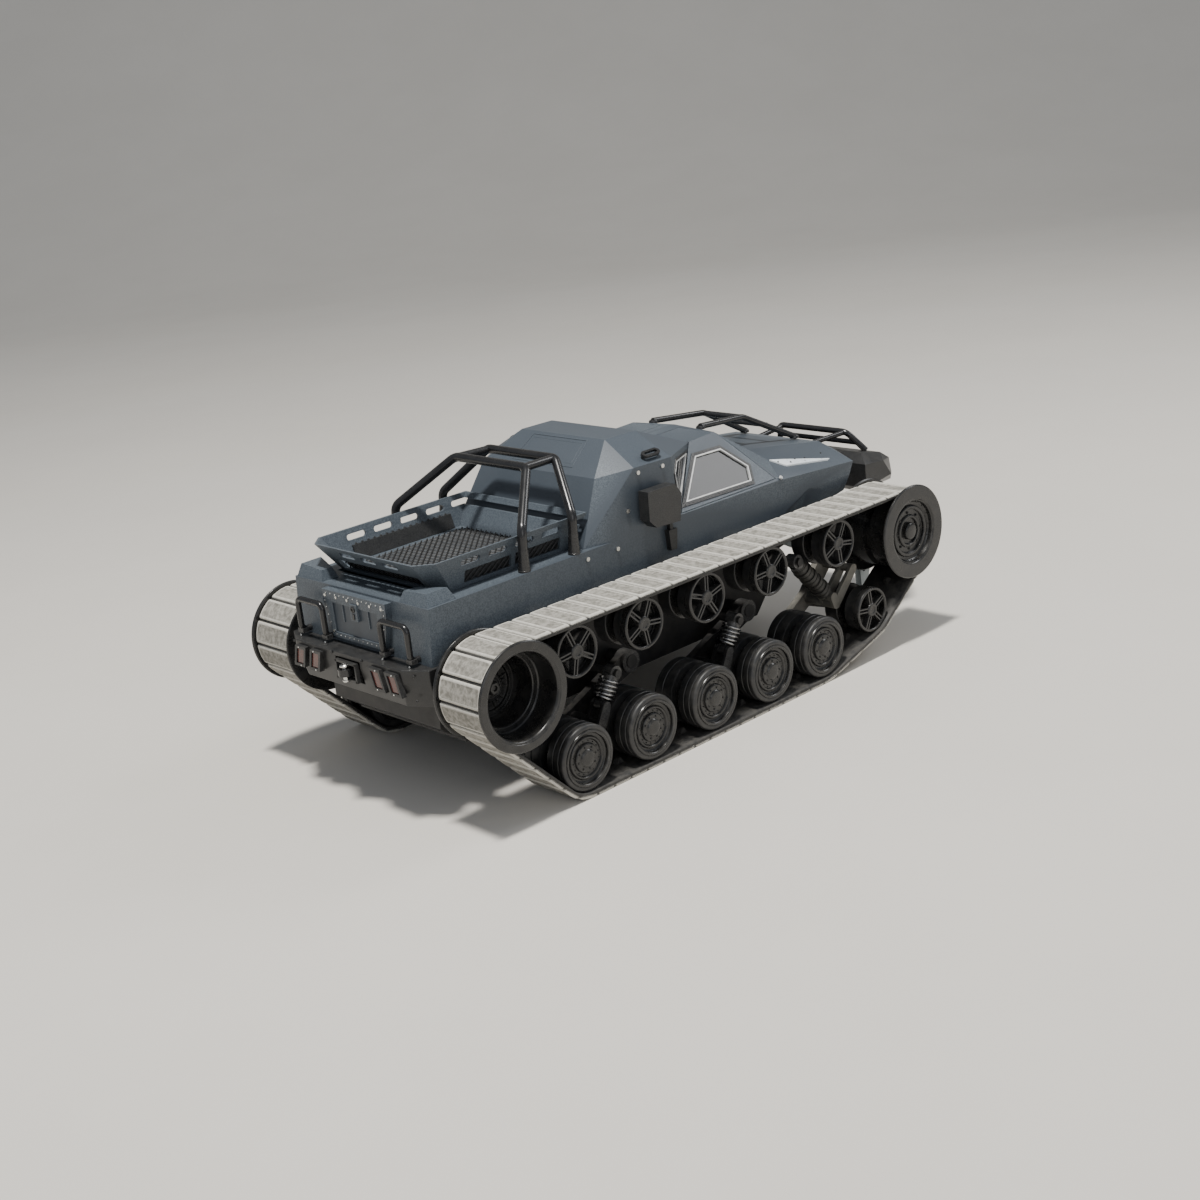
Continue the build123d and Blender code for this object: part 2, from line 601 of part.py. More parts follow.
LOWER = [
    (-239.0, HULL_Y, TUB_TOP), (-236.1, HULL_Y, DECK_Z), (118.0, HULL_Y, 152.5),
    (207.9, HULL_Y, 146.6), (196.0, HULL_Y, 124.3), (130.0, HULL_Y, TUB_TOP),
    (223.0, 46.0, 150.0), (212.0, 46.0, 122.0), (226.0, 0.0, 150.5), (215.0, 0.0, 122.0),
]
HOOD = [
    (95.0, 70.0, 140.0), (205.0, 74.0, 140.0), (222.0, 46.0, 140.0), (118.0, HULL_Y, 152.5),
    (207.9, HULL_Y, 146.6), (223.0, 46.0, 150.0), (225.8, 0.0, 150.5), (204.0, 46.0, 161.0),
    (185.0, 30.0, 164.5), (125.0, 37.0, 172.0), (124.0, 60.0, 166.0), (110.0, 60.0, 166.0),
]
CAB_REAR = [
    (-90.0, 72.0, 140.0), (-90.0, 72.0, DECK_Z), (-67.0, HULL_Y, 140.0), (-67.0, HULL_Y, DECK_Z),
    (-64.0, 63.0, 197.0), (-38.3, HULL_Y, 200.3), (-34.9, 46.2, 217.7), (-3.8, 46.5, 217.4),
    (0.0, HULL_Y, 199.5), (3.7, HULL_Y, 154.0), (3.7, HULL_Y, 140.0), (52.0, 46.0, 195.5),
    (52.0, 46.0, 140.0),
]
CAB_FRONT = [
    (3.7, HULL_Y, 140.0), (3.7, HULL_Y, 154.0), (52.0, 46.0, 195.5), (81.7, 44.8, 196.8),
    (118.3, HULL_Y, 152.7), (118.3, HULL_Y, 140.0), (124.0, 60.0, 166.0), (125.0, 37.0, 172.0),
    (84.0, 0.0, 198.4), (46.0, 0.0, 197.6),
]


def inset(points, wall, floor_drop):
    """Corners of a block moved inwards by about the wall, with its floor lowered."""
    xs = [p[0] for p in points]
    zs = [p[2] for p in points]
    middle = (min(xs) + max(xs)) / 2
    half = (max(xs) - min(xs)) / 2
    low, high = min(zs), max(zs)
    moved = []
    for x, y, z in points:
        new_x = middle + (x - middle) * (1 - wall / half)
        new_y = y * (1 - wall / HULL_Y)
        new_z = low + (z - low) * (1 - 1.25 * wall / (high - low))
        if z - low < 0.5:
            new_z = low - floor_drop
        moved.append((new_x, new_y, new_z))
    return moved


def outer_body():
    """The whole faceted body as one solid."""
    return facet_block(LOWER) + facet_block(HOOD) + facet_block(CAB_REAR) + facet_block(CAB_FRONT)


def inner_body(wall):
    """The space inside the body."""
    space = facet_block(inset(LOWER, wall, 2))
    for block in (HOOD, CAB_REAR, CAB_FRONT):
        space += facet_block(inset(block, wall, 2))
    return space


DOOR = [
    (1.0, HULL_Y + 3), (118.3, HULL_Y + 3), (82.0, 44.0), (78.0, HINGE_Y), (44.0, HINGE_Y),
    (52.5, 45.5),
]
WINDOW = [(16.0, 73.2), (49.2, 53.6), (77.4, 53.8), (94.0, 66.2), (88.6, 73.6)]
QUARTER = [(39.5, 190.5), (12.0, 192.8), (4.0, 185.5), (5.5, 168.0), (11.0, 165.5)]
DOOR_SILL = 154.6


def grown(outline, gap):
    """Clockwise outline with every side moved outwards by a gap."""
    moved = []
    count = len(outline)
    for i, (x, y) in enumerate(outline):
        before, after = outline[i - 1], outline[(i + 1) % count]
        first = Vector(x - before[0], y - before[1], 0).normalized()
        second = Vector(after[0] - x, after[1] - y, 0).normalized()
        out_a = Vector(-first.Y, first.X, 0)
        out_b = Vector(-second.Y, second.X, 0)
        corner = (out_a + out_b) * (gap / (1 + out_a.dot(out_b)))
        moved.append((x + corner.X, y + corner.Y))
    return moved


def door_zone(gap):
    """Space that belongs to the left door, grown by a gap."""
    return plate_xy(grown(DOOR, gap), DOOR_SILL - gap, 215)


def pane(block, zone):
    """Glass in the middle of the skin of one block of the cab, inside an opening's zone."""
    skin = facet_block(inset(block, 0.6, 0)) - facet_block(inset(block, 1.9, 0))
    return skin & zone


def window_zone():
    """Opening of the left door's window."""
    return plate_xy(WINDOW, 156, 205)


def quarter_zone():
    """Opening of the small fixed window beside the left door."""
    return plate_xz(QUARTER, 45, 95)


def body_parts(body):
    """Body shell and left door, cut from one thin-walled body."""
    tuck = nose_side_cut()
    shell = body - both_sides(tuck)
    shell -= inner_body(WALL) - both_sides(Pos(0, -WALL, 0) * tuck)
    bed = [(-212, 60), (-96, 60), (-96, -60), (-212, -60)]
    shell -= plate_xy(bed, 130, 155)
    shell -= both_sides(quarter_zone())
    door_skin = shell & door_zone(-DOOR_GAP / 2)
    door = max(door_skin.solids(), key=lambda solid: solid.volume) - window_zone()
    shell -= both_sides(door_zone(DOOR_GAP / 2))
    hull = max(shell.solids(), key=lambda solid: solid.volume)
    return hull, door


def nose_side_cut():
    """Wedge that turns the lower side of the nose inwards below a crease."""
    return facet_free([
        (122, HULL_Y, 126), (151, HULL_Y, 137.7), (199, HULL_Y, 136.0), (230, HULL_Y, 135),
        (230, HULL_Y + 9, 135), (122, HULL_Y + 9, 126), (151, HULL_Y + 9, 138),
        (122, HULL_Y - 5.5, 108), (230, HULL_Y - 7, 108), (122, HULL_Y + 9, 108), (230, HULL_Y + 9, 108),
    ])


def facet_free(points):
    """Convex block from all its corners."""
    return ConvexPolyhedron(points)


# ---- load bed and outside fittings -----------------------------------------------------

BED_LOW = [(-210.0, 54.0), (-203.0, 61.5), (-94.0, 61.5)]
BED_HIGH = [(-229.7, 56.6), (-218.0, 68.5), (-79.8, 68.5)]


def bed_block(low, high, z0, z1):
    """Flared block between a low and a high plan outline, symmetric across."""
    return facet_block([(x, y, z0) for x, y in low] + [(x, y, z1) for x, y in high])


def shrink_plan(outline, amount):
    """Plan outline of the bed moved inwards by an amount."""
    (xa, ya), (xb, yb), (xc, yc) = outline
    return [(xa + amount, ya - amount * 0.4), (xb + amount * 0.4, yb - amount), (xc - amount, yc - amount)]


def hand_slot(length, reach=160):
    """Round-ended cutter, long in X, that goes through in Y."""
    return Rot(90, 0, 0) * extrude(SlotOverall(length, 4.6), reach / 2, both=True)


def cargo_tray():
    """Flared tray with an open top, hand slots and openings for the grilles."""
    tray = bed_block(BED_LOW, BED_HIGH, BED_FLOOR, BED_TOP)
    inside_low, inside_high = shrink_plan(BED_LOW, BED_WALL), shrink_plan(BED_HIGH, BED_WALL)
    tray -= bed_block(inside_low, inside_high, BED_FLOOR + 2, BED_TOP + 0.01)
    for k in range(5):
        x = -196 + 24.5 * k
        tray -= Pos(x + 8.5, 0, 170.9) * hand_slot(17)
    for y in (-25, 0, 25):
        tray -= Pos(-227.5, y, 170.9) * Rot(0, 0, 90) * hand_slot(16, 25)
    tray -= box_between((-192, -80, 155.5), (-150, 80, 164.5))
    tray -= box_between((-146, -80, 155.5), (-104, 80, 164.5))
    tray -= box_between((-240, -48, 155.5), (-190, 48, 164.5))
    return tray


def bed_grilles():
    """Grille panels behind the tray's openings."""
    side = plate_yz_quad(-194, -102, 61.9, 65.1)
    rear_low, rear_high = -209.4, -219.8
    low_edge = [(rear_low + 1.9, 154.6), (rear_low + 3.3, 154.6)]
    high_edge = [(rear_high + 5.3, 165.4), (rear_high + 3.9, 165.4)]
    rear = plate_xz(low_edge + high_edge, -46, 46)
    return [side, mirror(side, about=Plane.XZ), rear]


def plate_yz_quad(x0, x1, y_low, y_high):
    """Thin leaning panel inside the tray's left wall."""
    low = y_low - 2.2
    high = y_high - 2.0
    corners = [(low - 1.2, 154.6), (low, 154.6), (high, 165.4), (high - 1.2, 165.4)]
    face = make_face(Polyline(*[(x0, y, z) for y, z in corners], close=True))
    return extrude(face, amount=x1 - x0, dir=(1, 0, 0))


def roll_cage(body):
    """Two hoops behind the cab joined by two bars, with feet on the deck of the body."""
    rear = [(-146.4, 72.6, DECK_Z), (-144.5, 72.4, 181), (-107, 40.3, 213.5)]
    front = [(-100.1, 73.6, DECK_Z), (-98.3, 73.6, 180), (-77.3, 38.1, 212.9)]
    cage = None
    for hoop in (rear, front):
        points = hoop + [(x, -y, z) for x, y, z in reversed(hoop)]
        tube = bent_tube(points, CAGE_R, 7.0)
        cage = tube if cage is None else cage + tube
        foot_x = hoop[0][0]
        for side in (1, -1):
            cage += Pos(foot_x, side * (hoop[0][1] - 0.4), DECK_Z + 1.2) * Cylinder(4.6, 2.4)
    for side in (1, -1):
        cage += bar_between((-107, side * 38, 213.3), (-78, side * 36, 212.7), 3.0)
    return cage - body


def windshield_guard(body):
    """Two bent tubes over the hood joined by cross tubes, with feet on the body."""
    guard = None
    for side in (1, -1):
        points = [(86, side * 26.5, 199.0), (140.5, side * 21.2, 193.7), (196, side * 27.8, 165.4)]
        tube = bent_tube(points, 2.4, 12.0)
        guard = tube if guard is None else guard + tube
        guard += Pos(86.6, side * 26.4, 198.2) * Cylinder(3.8, 3.2)
        guard += Pos(194.8, side * 27.7, 165.6) * Cylinder(3.8, 3.2)
    guard += bar_between((140, -21.5, 193.4), (140, 21.5, 193.4), 2.3)
    guard += bar_between((166, -24, 181.5), (166, 24, 181.5), 2.1)
    return guard - body


def front_bumper():
    """Faceted bumper beam with its two stays to the nose."""
    beam = facet_block([
        (238.0, 62.0, 145.0), (268.4, 58.0, 137.9), (280.0, 58.0, 130.6), (FRONT_END, 56.0, 117.0),
        (283.4, 56.0, 110.6), (230.0, 62.0, 139.0), (236.0, 62.0, 112.0), (228.0, 74.0, 138.0),
        (228.0, 74.0, 118.0), (262.0, 74.0, 122.0), (252.0, 74.0, 136.0),
    ])
    recess = plate_xz([(FRONT_END + 2, 116), (277, 120), (277, 129), (FRONT_END + 2, 127)], -30, 30)
    beam -= recess
    beam -= box_between((250, -44, 100), (290, 44, 114))
    for side in (1, -1):
        beam += box_between((205, side * 40 - 4, 124), (240, side * 40 + 4, 134))
    return beam - facet_block(LOWER)


def bull_bar(body):
    """Bent tube loop on the bumper with a lower cross tube and two stays to the body."""
    legs = [(262, 48, 138), (250.7, 37.1, 157.5)]
    points = legs + [(x, -y, z) for x, y, z in reversed(legs)]
    bar = bent_tube(points, 2.6, 7.0)
    for side in (1, -1):
        bar += bar_between((251.5, side * 34, 156.6), (214, side * 30, 155.5), 2.2)
    bar += bar_between((256.5, -42, 147.5), (256.5, 42, 147.5), 2.2)
    return bar - body - front_bumper()


def rear_bumper():
    """Chamfered rear beam under the rear panel."""
    beam = facet_block([
        (-254.0, 62.0, 112.0), (-244.0, 80.0, 112.0), (-230.2, 80.0, 111.9), (-230.2, 80.0, 88.0),
        (-240.0, 78.0, 84.0), (-250.0, 58.0, 84.0), (-230.2, 60.0, 84.0), (-254.0, 62.0, 104.0),
        (-244.0, 80.0, 104.0),
    ])
    beam -= box_between((-262, -14, 92), (-240, 14, 108))
    return beam


def tail_lamps():
    """Four slanted lenses on the rear beam."""
    lenses = []
    for y in (30.4, 48.8):
        outline = [(y + 3.5, 95.0), (y + 12.5, 95.0), (y + 9.0, 107.0), (y, 107.0)]
        face = make_face(Polyline(*[(-256.2, a, b) for a, b in outline], close=True))
        lens = extrude(face, amount=2.6, dir=(1, 0, 0)) - rear_bumper()
        lenses += [lens, mirror(lens, about=Plane.XZ)]
    return lenses


def tow_hitch():
    """Receiver box with a drawbar tongue that has a hole for an upright pin."""
    box = box_between((-254, -12, 93), (-240.2, 12, 107)) - box_between((-256, -8, 96.5), (-246, 8, 103.5))
    tongue = box_between((HITCH_X, -5, 97.5), (-243, 5, 102.5)) + Pos(HITCH_X, 0, 100) * Cylinder(5.0, 5.0)
    return box + (tongue - Pos(HITCH_X, 0, 100) * Cylinder(2.4, 8.0))


def grab_loops():
    """Two upright tube loops on the rear panel."""
    loops = []
    for side in (1, -1):
        top, low = 140.0, 116.0
        a, b = side * 34.0, side * 64.0
        wall, back = -238.6, -246.0
        first = [(wall, a, low), (back, a, low), (back, a, top)]
        second = [(back, b, top), (back, b, low), (wall, b, low)]
        loops.append(bent_tube(first + second, 2.2, 4.4) - facet_block(LOWER))
    return loops


def tailgate():
    """Plate on the rear panel with a raised border."""
    outline = [(37.0, 150.5), (-37.0, 150.5), (-37.0, 140.0), (-30.5, 116.0), (30.5, 116.0), (37.0, 140.0)]
    face = make_face(Polyline(*[(-242.0, a, b) for a, b in outline], close=True))
    plate = extrude(face, amount=6, dir=(1, 0, 0)) - facet_block(LOWER)
    return plate - box_between((-243, -26, 120), (-240.9, 26, 142))


def side_mirror():
    """Boxed mirror on a stalk with its foot on the body side."""
    outline = [(-39.1, 183.7), (-11.1, 183.4), (-5.3, 175.1), (-8.6, 154.6), (-33.6, 155.9), (-40, 162.2)]
    housing = plate_xz(outline, 81.0, 91.0)
    stalk = box_between((-14, HULL_Y, 160), (-6.5, 82, 170))
    foot = plate_xz([(-13.5, 147), (-4.5, 147), (-6.5, 131.5), (-12.5, 131.5)], HULL_Y, 82.6)
    strut = plate_xz([(-11.5, 156), (-8.9, 156), (-8.0, 145), (-11.5, 145)], HULL_Y + 1.2, 82.0)
    return housing + stalk + foot + strut


def head_lamp(body):
    """Left lamp panel, triangular, on the sloping side of the hood."""
    zone = plate_xy([(124.5, 61.6), (186.5, 71.4), (182.5, 72.6), (136.0, 69.0)], 140, 175)
    outer = facet_block([(x, y * 1.012, z + 0.7) for x, y, z in HOOD])
    panel = (zone & outer) - body
    return max(panel.solids(), key=lambda solid: solid.volume)


def corner_box(body):
    """Faceted box on the left rear corner of the deck."""
    return facet_free([
        (-235.5, 45, DECK_Z), (-235.5, 76, DECK_Z), (-210.5, 76, DECK_Z), (-221, 45, DECK_Z),
        (-232.5, 48, 159.5), (-232.5, 73, 161), (-215, 73.5, 161), (-223.5, 48, 159.5),
    ]) - body


def rivet(x, y, z, direction, radius=1.6, height=1.2):
    """Round-headed screw standing on a surface, with its shank in the wall."""
    base = Plane(origin=(x, y, z), z_dir=direction)
    head = Cylinder(radius, height, align=(Align.CENTER, Align.CENTER, Align.MIN))
    shank = Cylinder(radius * 0.55, 3.0, align=(Align.CENTER, Align.CENTER, Align.MAX))
    return base * (head + shank)


def body_screws():
    """Screws on both sides of the body and on the tailgate."""
    screws = []
    for x, z in ((-35.1, 196.2), (-9.9, 195.3), (-48.8, 170.9), (-62.4, 146.1), (-92.2, 146.6)):
        for side in (1, -1):
            screws.append(rivet(x, side * HULL_Y, z, (0, side, 0)))
    for y in (-33.0, -19.8, -6.6, 6.6, 19.8, 33.0):
        screws.append(rivet(-242.0, y, 146.6, (-1, 0, 0), 1.1, 0.8))
    for y in (-28.3, 28.3):
        screws.append(rivet(-242.0, y, 120.5, (-1, 0, 0), 1.1, 0.8))
    return screws


def tie_ring(body):
    """Oval tie-down ring on two short posts, on the left upper side of the cab."""
    oval = SlotOverall(17.4, 6.4) - SlotOverall(12.4, 2.6)
    post = Cylinder(1.1, 2.0, align=(Align.CENTER, Align.CENTER, Align.MIN))
    ring = Pos(0, 0, 1.6) * extrude(oval, 2.2) + [Pos(x, 0, 0) * post for x in (-7.3, 7.3)]
    facet = Plane(origin=(-16.0, 72.0, 203.4), x_dir=(1, 0, 0), z_dir=(0, 17.9, 31.5))
    return (facet * ring) - body


# ---- inside --------------------------------------------------------------------------

def battery_pack():
    """Shrink-wrapped pack strapped to the tub floor."""
    pack = box_between((-150, -23, 47), (-12, 23, 73))
    return fillet(pack.edges().filter_by(Axis.X), 4.0)


def drive_motor():
    """Left motor with its gearbox, whose bore carries the drive wheel's shaft."""
    gearbox = box_between((-224, 34, 66), (-192, 57.5, 107))
    gearbox -= rod_y(-HALF_BASE, END_Z, 4.0 + RUN_GAP, 46, 60)
    can = bar_between((-192, 45, 78), (-158, 45, 78), 10.5)
    tail = bar_between((-158, 45, 78), (-154, 45, 78), 4.0)
    return gearbox + can + tail


def controller():
    """Speed controller and receiver box with cooling fins."""
    case = box_between((10, -26, 47), (66, 26, 66))
    for k in range(8):
        case -= box_between((14 + 6 * k, -22, 63), (17 + 6 * k, 22, 67))
    return case


def cockpit_tub():
    """Inner floor of the cab, with a raised seat block on each side."""
    floor = box_between((8, -70, 142), (112, 70, 144))
    for side in (1, -1):
        y0, y1 = sorted((side * 16, side * 52))
        floor += box_between((30, y0, 143), (66, y1, 152))
        floor += box_between((30, y0, 151), (38, y1, 176))
    return floor


# ---- write every node ------------------------------------------------------------------

def main():
    body = outer_body()
    hull, door = body_parts(body)
    save("hull_shell", [hull])
    save("quarter_glass", [on_side(pane(CAB_REAR, quarter_zone()), side) for _, side in SIDES])
    for name, side in SIDES:
        save(f"door_{name}", [on_side(door, side)])
        save(f"door_glass_{name}", [on_side(pane(CAB_FRONT, window_zone()), side)])
        save(f"track_belt_{name}", [on_side(track_belt(), side)])
        save(f"drive_wheel_{name}", [on_side(Pos(-HALF_BASE, 0, END_Z) * drive_wheel(), side)])
        save(f"idler_wheel_{name}", [on_side(Pos(HALF_BASE, 0, END_Z) * idler_wheel(), side)])
        small = Pos(SMALL_X, 0, SMALL_Z) * spoked_roller(SMALL_R, BELT_OUT - 3.0)
        save(f"small_wheel_{name}", [on_side(small, side)])
        for k, x in enumerate(WHEEL_X):
            wheel = Pos(x, 0, WHEEL_Z) * road_wheel()
            save(f"road_wheel_{name}_{k + 1}", [on_side(wheel, side)])
        for k, x in enumerate(ROLLER_X):
            roller = Pos(x, 0, ROLLER_Z) * spoked_roller(ROLLER_R, BELT_OUT - 4.6)
            save(f"return_roller_{name}_{k + 1}", [on_side(roller, side)])
        for k, item in enumerate(UNITS):
            save(f"bogie_arm_{name}_{k + 1}", [on_side(bogie_arm(item), side)])
    save("shock_bodies", [on_side(shock_body(item), side) for item in UNITS for _, side in SIDES])
    save("shock_springs", [on_side(shock_spring(item), side) for item in UNITS for _, side in SIDES])
    save("chassis_tub", [chassis_tub()])
    save("idler_brackets", [on_side(idler_bracket(), side) for _, side in SIDES])
    save("cargo_tray", [cargo_tray()])
    save("bed_grilles", bed_grilles())
    save("roll_cage", [roll_cage(body)])
    save("front_bumper", [front_bumper()])
    save("front_guards", [windshield_guard(body), bull_bar(body)])
    save("rear_bumper", [rear_bumper()])
    save("tail_lamps", tail_lamps())
    rings = [on_side(tie_ring(body), side) for _, side in SIDES]
    save("body_fittings", [tow_hitch()] + grab_loops() + rings)
    boxes = [on_side(corner_box(body), side) for _, side in SIDES]
    save("tailgate_plate", [tailgate()] + boxes)
    save("side_mirrors", [on_side(side_mirror(), side) for _, side in SIDES])
    save("head_lamps", [on_side(head_lamp(body), side) for _, side in SIDES])
    save("body_screws", body_screws())
    save("battery_pack", [battery_pack()])
    save("drive_motors", [on_side(drive_motor(), side) for _, side in SIDES])
    save("controller", [controller()])
    save("cockpit_tub", [cockpit_tub()])


main()
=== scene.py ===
"""Visual model of the tracked vehicle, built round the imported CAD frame.

Lengths named _MM are millimetres; every Blender object is in metres in the CAD frame:
+X front, +Y left, +Z up, floor at z = 0.
"""
import bmesh
import bpy
import math
import random
from mathutils import Matrix, Vector


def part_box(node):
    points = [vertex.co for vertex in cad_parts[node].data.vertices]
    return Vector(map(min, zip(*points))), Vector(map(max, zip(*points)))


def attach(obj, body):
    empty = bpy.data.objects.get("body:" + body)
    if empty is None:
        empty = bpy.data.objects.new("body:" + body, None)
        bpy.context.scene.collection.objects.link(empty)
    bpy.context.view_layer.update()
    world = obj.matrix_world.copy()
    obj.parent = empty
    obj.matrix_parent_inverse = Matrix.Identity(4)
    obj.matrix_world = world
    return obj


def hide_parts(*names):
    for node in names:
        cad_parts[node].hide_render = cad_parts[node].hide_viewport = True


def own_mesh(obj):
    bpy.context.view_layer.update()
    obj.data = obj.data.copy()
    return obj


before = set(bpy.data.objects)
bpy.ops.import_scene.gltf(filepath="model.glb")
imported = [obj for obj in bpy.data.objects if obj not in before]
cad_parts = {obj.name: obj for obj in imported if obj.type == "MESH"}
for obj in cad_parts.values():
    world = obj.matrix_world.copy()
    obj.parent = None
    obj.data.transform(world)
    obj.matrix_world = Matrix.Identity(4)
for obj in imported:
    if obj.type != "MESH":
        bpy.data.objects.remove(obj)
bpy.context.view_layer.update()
MM = 0.001
ORIGIN_X_MM = 11.5      # the drawing's x = 0 is halfway between drive and idler wheels
SIDES = (("left", 1), ("right", -1))


def at(x, y, z):
    """Point of the vehicle's drawing, in millimetres, as a place in the frame."""
    return Vector(((x - ORIGIN_X_MM) * MM, y * MM, z * MM))


def middle(node):
    """Centre of a CAD node's box."""
    low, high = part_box(node)
    return (Vector(low) + Vector(high)) / 2


# ---- camera, light, floor ------------------------------------------------------------

def add_camera():
    """Camera behind the vehicle's right rear corner, a little above it."""
    azimuth, elevation, roll = math.radians(-41.62), math.radians(17.85), math.radians(-6.23)
    back = Vector((math.sin(azimuth) * math.cos(elevation), -math.cos(azimuth) * math.cos(elevation),
                   math.sin(elevation)))
    right = Vector((0, 0, 1)).cross(back).normalized()
    up = back.cross(right)
    turned_right = right * math.cos(roll) + up * math.sin(roll)
    turned_up = up * math.cos(roll) - right * math.sin(roll)
    data = bpy.data.cameras.new("camera")
    data.lens = 52.63
    data.sensor_width = 36.0
    data.clip_start = 0.01
    camera = bpy.data.objects.new("camera", data)
    rotation = Matrix((turned_right, turned_up, back)).transposed().to_4x4()
    camera.matrix_world = Matrix.Translation(at(-883.4, -977.1, 500.9)) @ rotation
    bpy.context.scene.collection.objects.link(camera)
    bpy.context.scene.camera = camera


def add_light(name, place, aim, size, power, colour=(1, 1, 1)):
    """Square area light that points at a place."""
    data = bpy.data.lights.new(name, "AREA")
    data.size = size
    data.energy = power
    data.color = colour
    light = bpy.data.objects.new(name, data)
    direction = Vector(aim) - Vector(place)
    light.matrix_world = Matrix.Translation(place) @ direction.to_track_quat("-Z", "Y").to_matrix().to_4x4()
    bpy.context.scene.collection.objects.link(light)


def add_studio():
    """Pale curved backdrop, a hard key from above and behind, and weaker fill."""
    world = bpy.data.worlds.new("studio")
    world.use_nodes = True
    world.node_tree.nodes["Background"].inputs["Color"].default_value = (0.80, 0.86, 0.95, 1)
    world.node_tree.nodes["Background"].inputs["Strength"].default_value = 0.40
    bpy.context.scene.world = world
    add_light("key", (-0.42, -0.30, 2.5), (0, 0, 0.08), 0.24, 92, (1.0, 0.975, 0.93))
    add_light("fill", (-0.9, -2.0, 1.0), (0, 0, 0.1), 1.2, 6)
    add_light("rim", (1.5, -0.6, 1.3), (0.1, 0, 0.1), 0.7, 9)
    mesh = bpy.data.meshes.new("backdrop")
    near, far, rise, steps, half = -3.0, 2.6, 2.4, 16, 9.0
    profile = [(near, 0.0)]
    for k in range(steps + 1):
        angle = math.pi / 2 * k / steps
        profile.append((far + rise * math.sin(angle), rise * (1 - math.cos(angle))))
    profile.append((far + rise, 9.0))
    heading = Matrix.Rotation(math.radians(48), 3, "Z")
    points = [tuple(heading @ Vector((along, y, z))) for along, z in profile for y in (-half, half)]
    mesh.from_pydata(points, [], [(2 * i, 2 * i + 1, 2 * i + 3, 2 * i + 2) for i in range(len(profile) - 1)])
    mesh.shade_smooth()
    backdrop = bpy.data.objects.new("backdrop", mesh)
    bpy.context.scene.collection.objects.link(backdrop)
    mesh.materials.append(surface("backdrop_paper", (0.66, 0.63, 0.58), (0.64, 0.61, 0.56), (0.85, 0.95),
                                  scale=3))


# ---- materials -----------------------------------------------------------------------

def surface(name, base, second, rough, metal=0.0, scale=60, grain=900, bump=0.0, bump_mm=0.05,
            wear=None, wear_amount=0.0, dust=0.0, coat=0.0, streak=None):
    """Principled material with blended colours, edge wear, dust, and bumps.

    base and second are mixed by a cloudy noise; wear shows on convex edges; dust is a
    pale film that lies more on faces that look up and near the ground."""
    mat = bpy.data.materials.new(name)
    mat.use_nodes = True
    tree = mat.node_tree
    nodes, links = tree.nodes, tree.links
    shader = nodes["Principled BSDF"]
    shader.inputs["Metallic"].default_value = metal
    shader.inputs["Coat Weight"].default_value = coat
    shader.inputs["Coat Roughness"].default_value = 0.12
    place = nodes.new("ShaderNodeTexCoord").outputs["Object"]
    if streak:
        mapping = nodes.new("ShaderNodeMapping")
        mapping.inputs["Scale"].default_value = streak
        links.new(place, mapping.inputs["Vector"])
        cloud_place = mapping.outputs["Vector"]
    else:
        cloud_place = place

    def noise(size, detail, source):
        node = nodes.new("ShaderNodeTexNoise")
        node.inputs["Scale"].default_value = size
        node.inputs["Detail"].default_value = detail
        node.inputs["Roughness"].default_value = 0.62
        links.new(source, node.inputs["Vector"])
        return node.outputs["Fac"]

    def remap(value, low, high, to_low=0.0, to_high=1.0):
        node = nodes.new("ShaderNodeMapRange")
        node.inputs["From Min"].default_value = low
        node.inputs["From Max"].default_value = high
        node.inputs["To Min"].default_value = to_low
        node.inputs["To Max"].default_value = to_high
        links.new(value, node.inputs["Value"])
        return node.outputs["Result"]

    def product(a, b):
        node = nodes.new("ShaderNodeMath")
        node.operation = "MULTIPLY"
        links.new(a, node.inputs[0])
        if isinstance(b, float):
            node.inputs[1].default_value = b
        else:
            links.new(b, node.inputs[1])
        return node.outputs["Value"]

    def blend(factor, under, over):
        node = nodes.new("ShaderNodeMix")
        node.data_type = "RGBA"
        links.new(factor, node.inputs["Factor"])
        for socket, colour in ((node.inputs[6], under), (node.inputs[7], over)):
            if isinstance(colour, tuple):
                socket.default_value = (*colour, 1)
            else:
                links.new(colour, socket)
        return node.outputs[2]

    cloud = noise(scale, 5, cloud_place)
    fine = noise(grain, 4, place)
    colour = blend(remap(cloud, 0.38, 0.62), base, second)
    roughness = remap(cloud, 0.3, 0.7, rough[0], rough[1])
    if wear:
        edge = nodes.new("ShaderNodeNewGeometry").outputs["Pointiness"]
        worn = product(product(remap(edge, 0.515, 0.58), remap(fine, 0.4, 0.6)), wear_amount)
        colour = blend(worn, colour, wear)
    if dust:
        normal = nodes.new("ShaderNodeSeparateXYZ")
        links.new(nodes.new("ShaderNodeTexCoord").outputs["Normal"], normal.inputs["Vector"])
        height = nodes.new("ShaderNodeSeparateXYZ")
        links.new(place, height.inputs["Vector"])
        facing = remap(normal.outputs["Z"], -0.4, 1.0, 0.35, 1.0)
        low = remap(height.outputs["Z"], 0.0, 0.16, 1.0, 0.45)
        patch = remap(noise(scale * 2.3, 8, place), 0.36, 0.66)
        film = product(product(product(facing, low), patch), dust)
        colour = blend(film, colour, (0.46, 0.42, 0.35))
        matt = nodes.new("ShaderNodeMath")
        matt.operation = "MULTIPLY_ADD"
        links.new(film, matt.inputs[0])
        matt.inputs[1].default_value = 0.5
        links.new(roughness, matt.inputs[2])
        roughness = matt.outputs["Value"]
    links.new(colour, shader.inputs["Base Color"])
    links.new(roughness, shader.inputs["Roughness"])
    if bump:
        node = nodes.new("ShaderNodeBump")
        node.inputs["Strength"].default_value = bump
        node.inputs["Distance"].default_value = bump_mm * MM
        links.new(fine, node.inputs["Height"])
        links.new(node.outputs["Normal"], shader.inputs["Normal"])
    return mat


